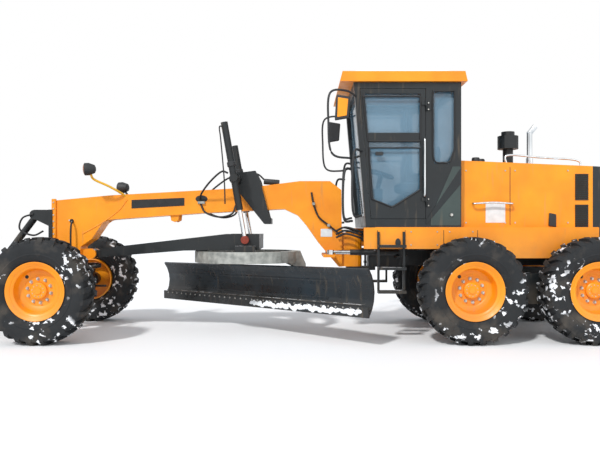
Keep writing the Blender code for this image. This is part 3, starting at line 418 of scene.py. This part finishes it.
# %% Carcass and tread bars
TREAD_BARS = 26
HUB_HEIGHT = 0.6708
TYRE_TOP = 0.674
CARCASS = [
    (0.322, 0.60),
    (0.350, 0.735),
    (0.372, 0.745),
    (0.385, 0.80),
    (0.430, 0.935),
    (0.452, 0.950),
    (0.458, 0.972),
    (0.466, 0.972),
    (0.472, 0.958),
    (0.530, 1.0),
    (0.580, 0.985),
    (0.612, 0.93),
    (0.630, 0.80),
    (0.638, 0.45),
    (0.640, 0.0),
]


def tread(name, centre, half, body):
    """The bars: at share s from the middle, angle grows by 0.11 s and the top falls towards the shoulder."""
    share = np.linspace(0, 1, 5)
    top = TYRE_TOP - 0.052 * np.clip(share - 0.72, 0, 1) / 0.28
    base = np.where(share < 0.8, 0.600, 0.572)
    spread = 0.050 + 0.016 * share
    radius = np.stack([base, base, top, top], 1)
    turn = 0.11 * share[:, None] + np.stack([-spread, spread, -0.78 * spread, 0.78 * spread], 1)
    wide = half * (-0.06 + 1.03 * share)[:, None] * np.ones(4)
    one = []
    for k in range(4):
        a = 4 * k
        one += [(a, a + 1, a + 5, a + 4), (a + 2, a + 6, a + 7, a + 3)]
        one += [(a, a + 4, a + 6, a + 2), (a + 1, a + 3, a + 7, a + 5)]
    one += [(0, 2, 3, 1), (16, 17, 19, 18)]
    points, faces = [], []
    for sign in (-1, 1):
        start = (np.arange(TREAD_BARS) + (0.5 if sign > 0 else 0)) * TAU / TREAD_BARS
        angle = start[:, None, None] + turn
        across = np.broadcast_to(sign * wide, angle.shape)
        bars = np.stack([radius * np.cos(angle), across, radius * np.sin(angle)], 3).reshape(-1, 3)
        offset = sum(len(p) for p in points) + 20 * np.arange(TREAD_BARS)
        faces += [tuple(np.array(f) + o) for o in offset for f in one]
        points.append(bars)
    points = np.vstack(points) + centre
    points[:, 2] = np.maximum(points[:, 2], 0.0)
    return surface(name, points, faces, RUBBER, body, 25)


def tyre(wheel, body):
    """One tyre in place of its plain ring."""
    low, high = (np.array(v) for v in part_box(wheel + "_tyre"))
    centre, half = (low + high) / 2, (high - low)[1] / 2
    centre[2] = low[2] + HUB_HEIGHT
    side = [(r, w * half) for r, w in CARCASS]
    profile = [(r, -w) for r, w in side] + [(r, w) for r, w in reversed(side[:-1])]
    made = turned(wheel + "_tyre_body", profile, centre, (0, 1, 0), RUBBER, body, 96)
    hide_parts(wheel + "_tyre")
    tread(wheel + "_tread", centre, half, body)
    return centre


# %% [markdown]
# ## Rims
# The wheel disc sits deep in its rim. A flange and a lock ring hold the tyre, ten nuts hold the disc to the
# hub, and the hub cover stands proud in the middle.


# %% Dish, nuts and hub
def rim(wheel, body, side, dish, centre):
    """One fine rim in place of its plain one. dish is how far out the disc sits."""
    profile = [
        (0.0, dish + 0.062),
        (0.040, dish + 0.062),
        (0.046, dish + 0.052),
        (0.090, dish + 0.052),
        (0.104, dish + 0.042),
        (0.108, dish + 0.004),
        (0.196, dish),
        (0.206, dish + 0.008),
        (0.258, dish + 0.012),
        (0.272, dish + 0.034),
        (0.283, 0.135),
        (0.300, 0.150),
        (0.322, 0.155),
        (0.330, 0.166),
        (0.346, 0.168),
        (0.349, 0.160),
        (0.354, 0.160),
        (0.357, 0.170),
        (0.366, 0.176),
        (0.369, 0.184),
        (0.362, 0.185),
        (0.350, 0.178),
        (0.318, 0.158),
        (0.317, -0.180),
        (0.300, -0.184),
        (0.298, dish - 0.03),
        (0.0, dish - 0.03),
    ]
    made = turned(wheel + "_rim_dish", profile, centre, (0, side, 0), RIM, body, 80)
    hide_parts(wheel + "_rim")
    angle = np.arange(10) * TAU / 10 + 0.2
    ring = np.stack([np.cos(angle), 0 * angle, np.sin(angle)], 1)
    face = centre + np.array((0, side * (dish + 0.001), 0))
    studs(wheel + "_washers", face + 0.150 * ring, (0, side, 0), 0.024, 0.006, NUT, body, 16)
    studs(wheel + "_nuts", face + 0.150 * ring + (0, side * 0.006, 0), (0, side, 0), 0.017, 0.024, NUT, body)
    studs(
        wheel + "_hub_bolts", face + 0.072 * ring + (0, side * 0.05, 0), (0, side, 0), 0.007, 0.008, NUT, body
    )
    # Painted shade: a thin dark disc on the wheel disc stands for the shade seen through the valve slot.
    slot = centre + (0.232 * math.cos(0.85), side * (dish + 0.009), 0.232 * math.sin(0.85))
    studs(wheel + "_valve_slot_shade", [slot], (0, side, 0), 0.024, 0.006, HOSE, body, 16)


for name, side in (("left", 1), ("right", -1)):
    for place in ("front", "mid", "rear"):
        wheel = f"{name}_{place}"
        centre = tyre(wheel, wheel + "_wheel")
        rim(wheel, wheel + "_wheel", side, 0.03 if place == "front" else -0.02, centre)
print("bars on each wheel:", 2 * TREAD_BARS)

# %% [markdown]
# ## Cab
# The cab is a dark frame of pressed posts. Black rubber beads hold the glass, chrome grab handles help the
# driver in, and two mirrors stand on tube loops ahead of the front posts.


# %% Beads, handles and mirrors
def bead(name, outline, y, body, radius=0.012):
    """A rubber bead round a window in side view."""
    corners = np.array([(x, y, z) for x, z in outline])
    ahead, behind = np.roll(corners, -1, 0), np.roll(corners, 1, 0)
    leave = corners + 0.03 * (ahead - corners) / np.linalg.norm(ahead - corners, axis=1, keepdims=True)
    arrive = corners + 0.03 * (behind - corners) / np.linalg.norm(behind - corners, axis=1, keepdims=True)
    knots = np.stack([arrive, leave, 0.5 * (leave + np.roll(arrive, -1, 0))], 1).reshape(-1, 3)
    return hose(name, [*knots, knots[0]], radius, HOSE, body, 3, 6)


for name, side in (("left", 1), ("right", -1)):
    door = name + "_door_body"
    out = side * 0.806
    front_low, front_high = -0.93, -0.855
    bead(
        name + "_upper_bead",
        [(-1.565, 2.59), (front_high - 0.03, 2.59), (-0.82, 3.17), (-1.565, 3.17)],
        out,
        door,
    )
    low = [(-1.565, 2.50), (front_low + 0.03, 2.50), (front_low, 1.84), (-1.20, 1.73), (-1.565, 1.96)]
    bead(name + "_lower_bead", low, out, door)
    quarter = [(-2.01, 3.24), (-2.01, 2.48), (-1.945, 2.31), (-1.755, 2.31), (-1.73, 2.41), (-1.73, 3.24)]
    bead(name + "_quarter_bead", quarter, out, "rear_machine")
    bends = ((0.80, 2.60), (0.855, 2.59), (0.86, 2.25), (0.855, 1.90), (0.80, 1.89))
    grip = [(-1.615, side * y, z) for y, z in bends]
    hose(name + "_grab_handle", grip, 0.013, CHROME, door)
    latch = [((-1.08, side * 0.80, 2.40), (-0.98, side * 0.83, 2.45))]
    blocks(name + "_door_latch", latch, TRIM, door, 0.006)
    loop = [
        (-0.76, side * 0.76, 3.16),
        (-0.60, side * 0.92, 3.22),
        (-0.38, side * 1.02, 3.17),
        (-0.36, side * 1.02, 2.80),
        (-0.40, side * 1.00, 2.42),
        (-0.62, side * 0.90, 2.36),
        (-0.80, side * 0.77, 2.40),
    ]
    hose(name + "_mirror_arm", loop, 0.014, TRIM, "rear_machine")
    head = [(-0.44, 2.82), (-0.62, 2.85), (-0.64, 3.12), (-0.46, 3.15)]
    slab(name + "_mirror_head", head, *sorted((side * 1.00, side * 1.05)), TRIM, "rear_machine", 0.015)
    back = [(-0.47, 2.86), (-0.59, 2.88), (-0.61, 3.09), (-0.48, 3.11)]
    slab(name + "_mirror_back", back, *sorted((side * 1.048, side * 1.058)), ORANGE, "rear_machine", 0.004)
    for tag, x, z, high in (("front", -0.62, 1.55, 2.22), ("rear", -0.74, 1.62, 2.46)):
        rail = [
            (x - 0.06, side * 0.80, z),
            (x + 0.05, side * 0.90, z + 0.02),
            (x + 0.07, side * 0.92, (z + high) / 2),
            (x + 0.04, side * 0.90, high - 0.02),
            (x - 0.07, side * 0.79, high),
        ]
        hose(f"{name}_{tag}_entry_rail", rail, 0.016, TRIM, "rear_machine")
    hinge_studs = [(-1.67, side * 0.815, z + dz) for z in (1.80, 3.05) for dz in (-0.05, 0.035)]
    studs(name + "_hinge_bolts", hinge_studs, (0, side, 0), 0.011, 0.010, NUT, "rear_machine")

band = [(-2.10, 2.04), (-2.10, 2.26), (-1.64, 1.56), (-1.64, 1.50), (-1.70, 1.50)]
for name, side in (("left", 1), ("right", -1)):
    lower = [(-2.09, 1.49), (-2.09, 2.26), (-1.99, 2.26), (-1.70, 1.60), (-1.70, 1.49)]
    slab(name + "_lower_panel", lower, *sorted((side * 0.799, side * 0.808)), PANEL, "rear_machine")
    slab(name + "_panel_band", band[:4], *sorted((side * 0.807, side * 0.812)), TEAL, "rear_machine", 0.002)
    knob = [(-1.97, side * 0.81, 1.63)]
    studs(name + "_panel_knob", knob, (0, side, 0), 0.022, 0.02, NUT, "rear_machine", 14)
hose(
    "roof_antenna", [(-2.12, 0.5, 3.45), (-2.15, 0.5, 3.50), (-2.18, 0.5, 3.57)], 0.012, TRIM, "rear_machine"
)
crowned("roof_snow", (-1.34, 0.0, 3.492), np.array((0.74, 0.80, 0.035)), SNOW_PILE, "rear_machine", 0.25)
roof_bolts = [(x, y, 3.488) for x in (-0.70, -1.35, -2.00) for y in (-0.78, 0.78)]
studs("roof_bolts", roof_bolts, (0, 0, 1), 0.014, 0.010, NUT, "rear_machine")
hose(
    "wiper_arm", [(-0.87, 0.25, 1.66), (-0.84, 0.15, 2.0), (-0.79, -0.05, 2.50)], 0.008, TRIM, "rear_machine"
)

# %% [markdown]
# The driver's seat has two padded cushions. A cushion is a crowned box: a superellipsoid, whose points are
# signed powers of sines and cosines, so its faces bulge and its edges stay round.


# %% Seat cushions
seat_low, seat_high = (np.array(v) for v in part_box("driver_seat"))
seat_mid, seat_size = (seat_low + seat_high) / 2, seat_high - seat_low
print("seat:", np.round(seat_low, 3), np.round(seat_high, 3))
base = crowned(
    "seat_cushion",
    (seat_mid[0] + 0.02, seat_mid[1], seat_low[2] + 0.46 * seat_size[2]),
    np.array((0.46 * seat_size[0], 0.48 * seat_size[1], 0.075)),
    FABRIC,
    "rear_machine",
)
backrest = crowned(
    "seat_back",
    (seat_low[0] + 0.09, seat_mid[1], seat_low[2] + 0.74 * seat_size[2]),
    np.array((0.07, 0.46 * seat_size[1], 0.26 * seat_size[2])),
    FABRIC,
    "rear_machine",
    lean=-0.10,
)
stand = [
    (
        (seat_low[0] + 0.08, seat_mid[1] - 0.18, seat_low[2]),
        (seat_high[0] - 0.10, seat_mid[1] + 0.18, seat_low[2] + 0.30),
    ),
]
pedestal = blocks("seat_pedestal", stand, TRIM, "rear_machine", 0.02)
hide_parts("driver_seat")

# %% [markdown]
# ## Engine hood and deck
# Pressed sheet shows its seams, bolts, vents and latches. A seam is a thin dark strip that lies on the sheet,
# and a vent is a row of slats over a dark brown sheet of painted shade, which stands for the shaded inside of
# the vent.

# %% Hood sides, deck band and tail
HOOD_Y, BAND_Y, RAIL_OFFSET = 0.651, 0.836, 0.075
for name, side in (("left", 1), ("right", -1)):
    seam = [(-2.780, 1.50), (-2.788, 1.50), (-2.788, 2.27), (-2.780, 2.27)]
    slab(name + "_hood_seam", seam, *lying(side, HOOD_Y, 0.002), HOSE, "rear_machine", 0.0005)
    for tag, low, high in (("upper", 1.83, 2.17), ("lower", 1.47, 1.77)):
        vent = [(-3.645, low), (-3.82, low), (-3.82, high), (-3.645, high)]
        # Painted shade: a dark brown sheet behind the slats stands for the shaded inside of the vent.
        slab(f"{name}_{tag}_vent", vent, *lying(side, HOOD_Y, 0.003), VENT_SHADE, "rear_machine", 0.001)
        slats = [
            ((-3.82, side * HOOD_Y, z), (-3.645, side * (HOOD_Y + 0.012), z + 0.010))
            for z in np.arange(low, high, 0.028)
        ]
        blocks(f"{name}_{tag}_slats", slats, TEAL, "rear_machine", 0.002)
    latch = [(-3.29, 1.49), (-3.39, 1.47), (-3.39, 1.64), (-3.30, 1.66)]
    slab(name + "_hood_latch", latch, *lying(side, HOOD_Y, 0.022), TRIM, "rear_machine", 0.006)
    sheet = [(-2.46, 1.53), (-2.72, 1.53), (-2.72, 1.80), (-2.46, 1.80)]
    slab(name + "_blank_sheet", sheet, *lying(side, HOOD_Y, 0.003), SHEET, "rear_machine", 0.001)
    out = side * (HOOD_Y + RAIL_OFFSET)
    loop = [(-2.29, side * HOOD_Y, 1.79), (-2.30, out, 1.78), (-2.54, out, 1.795), (-2.78, out, 1.78)]
    hose(name + "_hood_rail", [*loop, (-2.79, side * HOOD_Y, 1.79)], 0.014, CHROME, "rear_machine")
    hood_bolts = [(x, side * HOOD_Y, z) for x in (-2.20, -2.72, -2.85, -3.55) for z in (1.53, 2.22)]
    studs(name + "_hood_bolts", hood_bolts, (0, side, 0), 0.012, 0.008, NUT, "rear_machine")
    rail = [
        (-2.79, side * 0.5, 2.30),
        (-2.80, side * 0.5, 2.44),
        (-3.25, side * 0.5, 2.41),
        (-3.74, side * 0.5, 2.37),
    ]
    hose(name + "_top_rail", [*rail, (-3.76, side * 0.5, 2.24)], 0.014, CHROME, "rear_machine")
    for index, x in enumerate((-1.00, -1.36, -1.86, -2.30)):
        joint = [(x, 1.20), (x - 0.007, 1.20), (x - 0.007, 1.43), (x, 1.43)]
        slab(f"{name}_band_seam_{index}", joint, *lying(side, BAND_Y, 0.002), HOSE, "rear_machine", 0.0005)
    band_bolts = [(x, side * BAND_Y, z) for x in (-1.44, -1.78, -1.94, -2.24) for z in (1.24, 1.41)]
    studs(name + "_band_bolts", band_bolts, (0, side, 0), 0.011, 0.008, NUT, "rear_machine")
    filler = oval((-1.27, 1.27), 0.035, 0.055)
    slab(name + "_filler", filler, *lying(side, BAND_Y, 0.012), TRIM, "rear_machine", 0.004)
caps = {"coolant": (-2.43, 0.28), "fuel": (-2.55, 0.10)}
for name, (x, y) in caps.items():
    profile = [
        (0.0, 0.10), (0.045, 0.10), (0.055, 0.085), (0.055, 0.04), (0.035, 0.035), (0.035, -0.04), (0, -0.04)
    ]
    turned(name + "_cap", profile, (x, y, 2.335), (0, 0, 1), TRIM, "rear_machine", 28)
tail_slats = [((-4.575, -0.42, z), (-4.562, 0.42, z + 0.018)) for z in np.arange(1.40, 2.00, 0.05)]
blocks("radiator_slats", tail_slats, TRIM, "rear_machine", 0.003)
tail_lamps = [((-4.60, y - 0.06, 1.22), (-4.56, y + 0.06, 1.32)) for y in (-0.52, 0.52)]
blocks("tail_lamps", tail_lamps, LENS, "rear_machine", 0.01)

# %% [markdown]
# ## Gooseneck frame
# The welded box beam carries a blank plate, an oval slot for the hoses drawn as a dark sheet of painted
# shade, a tie-down ear and the nose flange.
# The lift cylinders' hoses come up through the slot, and more hoses follow the frame leg to the hinge.

# %% Beam details
BEAM_Y = 0.161
for name, side in (("left", 1), ("right", -1)):
    plate = [(2.36, 1.735), (1.62, 1.775), (1.62, 1.885), (2.36, 1.855)]
    slab(name + "_blank_plate", plate, *lying(side, BEAM_Y, 0.004), SIGN, "front_machine", 0.001)
    # Painted shade: the hose slot is a dark oval sheet on the beam that stands for the shade inside the hole.
    slab(
        name + "_hose_slot_shade",
        oval((1.38, 1.87), 0.085, 0.050),
        *lying(side, BEAM_Y, 0.003),
        HOSE,
        "front_machine",
        0.001,
    )
    clamp = [((1.33, side * BEAM_Y, 1.80), (1.43, side * 0.195, 1.835))]
    blocks(name + "_hose_clamp", clamp, STEEL, "front_machine", 0.005)
    ear = [(1.83, 1.66), (1.70, 1.67), (1.71, 1.57), (1.76, 1.545), (1.81, 1.565)]
    slab(name + "_tie_down_ear", ear, *lying(side, 0.10, 0.03), ORANGE, "front_machine", 0.004)
    leg_plate = [(-0.29, 1.34), (-0.45, 1.34), (-0.45, 1.45), (-0.29, 1.45)]
    slab(name + "_leg_plate", leg_plate, *lying(side, BEAM_Y, 0.004), SHEET, "front_machine", 0.001)
    port = [(3.20, side * BEAM_Y, 1.56)]
    studs(name + "_hose_port", port, (0, side, 0), 0.030, 0.010, HOSE, "front_machine", 20)
    fittings = [(3.20 + dx, side * 0.170, 1.56 + dz) for dx, dz in ((0.02, 0.01), (-0.015, -0.015))]
    studs(name + "_port_fittings", fittings, (0, side, 0), 0.012, 0.03, CHROME, "front_machine")
    flange = [(3.475, 1.32), (3.415, 1.32), (3.415, 1.87), (3.475, 1.87)]
    slab(name + "_nose_flange", flange, *lying(side, 0.150, 0.035), ORANGE, "front_machine", 0.006)
    nose_bolts = [(3.445, side * 0.184, z) for z in np.linspace(1.38, 1.82, 6)]
    studs(name + "_nose_bolts", nose_bolts, (0, side, 0), 0.013, 0.010, NUT, "front_machine")
    weld = [
        (3.05, side * 0.163, 1.38),
        (2.80, side * 0.163, 1.52),
        (2.55, side * 0.163, 1.70),
        (2.42, side * 0.163, 1.86),
    ]
    hose(name + "_web_weld", weld, 0.007, ORANGE, "front_machine", 8, 6)
    lower = [(3.18, side * y, z) for y, z in ((0.17, 1.55), (0.24, 1.50), (0.26, 1.30), (0.24, 1.10))]
    hose(name + "_nose_hose", lower, 0.013, HOSE, "front_machine")
    top = [
        (1.40, side * 0.17, 1.86),
        (1.36, side * 0.26, 1.95),
        (1.22, side * 0.40, 2.10),
        (1.06, side * 0.50, 2.22),
        (0.97, side * 0.54, 2.20),
    ]
    hose(name + "_lift_hose", top, 0.013, HOSE, "front_machine")
    reach = 1.0 if side > 0 else 0.76
    pipe = np.array(
        [
            (1.00, 0.60, 1.78),
            (1.01, 0.60, 2.10),
            (1.055, 0.60, 2.62),
            (1.075, 0.60, 2.80),
            (1.045, 0.585, 2.82),
        ],
    )
    pipe[:, 2] = 1.78 + reach * (pipe[:, 2] - 1.78)
    pipe[:, 0] -= (1 - reach) * 0.05
    hose(name + "_lift_pipe", pipe * (1, side, 1), 0.009, HOSE, name + "_lift_barrel_body")
    collar = [(0.052, -0.035), (0.060, -0.025), (0.060, 0.025), (0.052, 0.035), (0.0, 0.035), (0.0, -0.035)]
    spot = (0.918, side * 0.55, 2.316)
    turned(name + "_lift_collar", collar, spot, (0.175, 0, 0.985), TRIM, name + "_lift_barrel_body", 28)
    eye = [(0.0, -0.034), (0.052, -0.034), (0.056, -0.026), (0.056, 0.026), (0.052, 0.034), (0.0, 0.034)]
    turned(name + "_lift_eye", eye, (0.738, side * 0.55, 1.30), (0, 1, 0), RUST, name + "_lift_rod_body", 28)
    sag = [
        (1.40, 0.15, 1.82), (1.32, 0.20, 1.68), (1.12, 0.21, 1.615), (0.95, 0.20, 1.66), (0.90, 0.16, 1.78)
    ]
    hose(name + "_beam_hose", [(x, side * y, z) for x, y, z in sag], 0.013, HOSE, "front_machine")
    leg = [
        (-0.16, 0.17, 1.96),
        (-0.19, 0.19, 1.80),
        (-0.26, 0.19, 1.62),
        (-0.40, 0.19, 1.50),
        (-0.55, 0.20, 1.38),
    ]
    hose(name + "_leg_hose", [(x, side * y, z) for x, y, z in leg], 0.013, HOSE, "front_machine")
    clamps = [
        ((x - 0.02, side * BEAM_Y, z - 0.02), (x + 0.02, side * 0.21, z + 0.02))
        for x, z in ((-0.19, 1.80), (-0.40, 1.50))
    ]
    blocks(name + "_leg_clamps", clamps, STEEL, "front_machine", 0.004)
    for index in range(3):
        drop = 0.045 * index
        across = [
            (-0.50, side * (0.20 + drop), 1.42 - drop),
            (-0.62, side * (0.25 + drop), 1.47 - drop),
            (-0.76, side * (0.29 + drop), 1.44 - drop),
            (-0.90, side * (0.28 + drop), 1.38 - drop),
            (-1.02, side * (0.22 + drop), 1.34 - drop),
        ]
        made = hose(f"{name}_hinge_hose_{index}", across, 0.014, HOSE, None)
        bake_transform(made)
    lamp = [
        (0.0, 0.085),
        (0.075, 0.085),
        (0.085, 0.075),
        (0.085, 0.02),
        (0.055, -0.055),
        (0.020, -0.07),
        (0.0, -0.07),
    ]
    centre = (2.84, 0.45, 2.26) if side > 0 else (2.60, -0.34, 2.06)
    turned(name + "_headlamp", lamp, centre, (0.96, side * 0.25, -0.05), TRIM, "front_machine", 36)
    lens = [(0.0, 0.103), (0.035, 0.100), (0.066, 0.090), (0.070, 0.084), (0.0, 0.084)]
    turned(name + "_headlamp_lens", lens, centre, (0.96, side * 0.25, -0.05), LENS, "front_machine", 36)
    arm = [(2.42, 0.10, 1.84), (2.46, 0.16, 1.92), (2.62, 0.32, 2.03), (2.80, 0.42, 2.12), (2.84, 0.45, 2.19)]
    if side < 0:
        arm = [(2.46, -0.12, 1.84), (2.48, -0.20, 1.90), (2.54, -0.30, 1.95), (2.58, -0.34, 2.0)]
    hose(name + "_headlamp_arm", arm, 0.016, LAMP_YELLOW if side > 0 else TRIM, "front_machine")

# %% [markdown]
# The front bracket's lift cylinder has a loop of hose, and a small valve sits on the beam behind the saddle
# with an arching hose.

# %% Front loop and beam valve
loop = [(3.62, 0.10, 1.42), (3.74, 0.16, 1.36), (3.92, 0.17, 1.44), (3.90, 0.14, 1.60), (3.76, 0.11, 1.66)]
hose("front_hose_loop", loop, 0.013, HOSE, "front_machine")
profile = [(0.0, 0.11), (0.035, 0.11), (0.04, 0.10), (0.04, -0.10), (0.035, -0.11), (0.0, -0.11)]
turned("beam_valve", profile, (0.40, 0.10, 2.11), (1, 0, 0.08), TRIM, "front_machine", 28)
arch = [(0.50, 0.10, 2.14), (0.60, 0.12, 2.22), (0.74, 0.16, 2.20), (0.80, 0.20, 2.08)]
hose("valve_hose", arch, 0.012, HOSE, "front_machine")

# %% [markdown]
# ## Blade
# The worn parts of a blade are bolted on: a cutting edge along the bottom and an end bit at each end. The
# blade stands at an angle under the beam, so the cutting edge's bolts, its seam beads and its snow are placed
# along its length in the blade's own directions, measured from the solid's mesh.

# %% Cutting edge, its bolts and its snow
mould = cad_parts["mouldboard"]
count = len(mould.data.vertices)
points = np.empty(3 * count)
mould.data.vertices.foreach_get("co", points)
points = points.reshape(-1, 3)
flat = points[:, :2] - points[:, :2].mean(0)
along = np.linalg.svd(flat, full_matrices=False)[2][0]
along *= np.sign(along[0])
outward = np.array((-along[1], along[0]))
outward *= np.sign(outward[1])
print("blade runs", np.round(along, 3), "and faces", np.round(outward, 3))
middle = points[:, :2].mean(0)
reach = (flat @ along).max() - 0.10
depth = flat @ outward
end_z = [points[side * (flat @ along) > 0.9 * reach, 2].min() for side in (-1, 1)]
foot = np.interp(flat @ along, (-reach, reach), end_z)
low_edge = depth[points[:, 2] < foot + 0.12]
edge_face = {1: low_edge.max(), -1: -low_edge.min()}
print("blade foot heights:", np.round(end_z, 3), "edge faces:", np.round(list(edge_face.values()), 3))


def on_edge(share, height, face, gap=-0.003):
    """A point on the cutting edge: share from -1 to 1 of its length, at a height over its foot."""
    spot = middle + along * share * reach + outward * face * (edge_face[face] + gap)
    return (*spot, np.interp(share, (-1, 1), end_z) + height)


for face in (1, -1):
    rows = [on_edge(share, 0.105, face) for share in np.linspace(-0.98, 0.98, 34)]
    tag = "front" if face > 0 else "back"
    studs("edge_bolts_" + tag, rows, (*(face * outward), 0), 0.014, 0.012, NUT, "mouldboard_body")
    line = [on_edge(share, 0.150, face) for share in (-1.0, 0.0, 1.0)]
    hose("edge_seam_" + tag, line, 0.006, EDGE, "mouldboard_body", 2, 6)

rng = np.random.default_rng(5)
shape = bmesh.new()
turn = Matrix.Rotation(math.atan2(along[1], along[0]), 4, "Z")
for share in np.linspace(-0.98, -0.02, 60):
    size = rng.random(3)
    spot = Vector(on_edge(share, 0.03 + 0.05 * size[0], 1, 0.0))
    scale = Matrix.Diagonal((0.03 + 0.03 * size[1], 0.008, 0.012 + 0.03 * size[2], 1.0))
    bmesh.ops.create_icosphere(
        shape, subdivisions=2, radius=1, matrix=Matrix.Translation(spot) @ turn @ scale
    )
linked("edge_snow", shape, SNOW_PILE, "mouldboard_body", 80)

# %% [markdown]
# ## Floor, light and camera
# A pale floor keeps the shadow. A soft sun comes from above and behind the camera's right, and the sky fills
# in. The sky is white only where the camera or a mirror looks at it, so the light on the machine stays plain.

# %% Stage
shape = bmesh.new()
bmesh.ops.create_grid(shape, x_segments=1, y_segments=1, size=100)
mesh = bpy.data.meshes.new("floor")
shape.to_mesh(mesh)
shape.free()
floor = bpy.data.objects.new("floor", mesh)
bpy.context.scene.collection.objects.link(floor)
pale, tree, shader, place = blank("pale_floor", 0.9)
shader.inputs["Base Color"].default_value = linear("#F7F7F7")
mesh.materials.append(pale)

world = bpy.data.worlds.new("sky")
world.use_nodes = True
tree = world.node_tree
light = tree.nodes["Background"]
light.inputs["Color"].default_value = linear("#EEF3FA")
light.inputs["Strength"].default_value = 0.70
white = add(tree, "Background", {"Color": linear("#FFFFFF"), "Strength": 1.0})
ray = add(tree, "LightPath").outputs
seen = add(tree, "Math", {0: ray["Is Camera Ray"], 1: ray["Is Glossy Ray"]}, operation="MAXIMUM")
seen = add(tree, "Math", {0: seen.outputs[0], 1: ray["Is Transmission Ray"]}, operation="MAXIMUM")
both = add(tree, "MixShader", {0: seen.outputs[0], 1: light.outputs[0], 2: white.outputs[0]})
tree.links.new(both.outputs[0], tree.nodes["World Output"].inputs["Surface"])
bpy.context.scene.world = world

LIGHTS = {"sun": (2.3, 5, (48, 0, 152)), "fill": (0.5, 60, (70, 0, 215))}
for name, (energy, spread, turn) in LIGHTS.items():
    lamp = bpy.data.lights.new(name, "SUN")
    lamp.energy = energy
    lamp.angle = math.radians(spread)
    holder = bpy.data.objects.new(name, lamp)
    holder.rotation_euler = [math.radians(t) for t in turn]
    bpy.context.scene.collection.objects.link(holder)

lens = bpy.data.cameras.new("camera")
lens.lens = 38.7
camera = bpy.data.objects.new("camera", lens)
camera.location = (0, 9.2, 1.42)
camera.rotation_euler = (math.radians(90), 0, math.radians(180))
bpy.context.scene.collection.objects.link(camera)
bpy.context.scene.camera = camera
bpy.context.scene.view_settings.view_transform = "Standard"
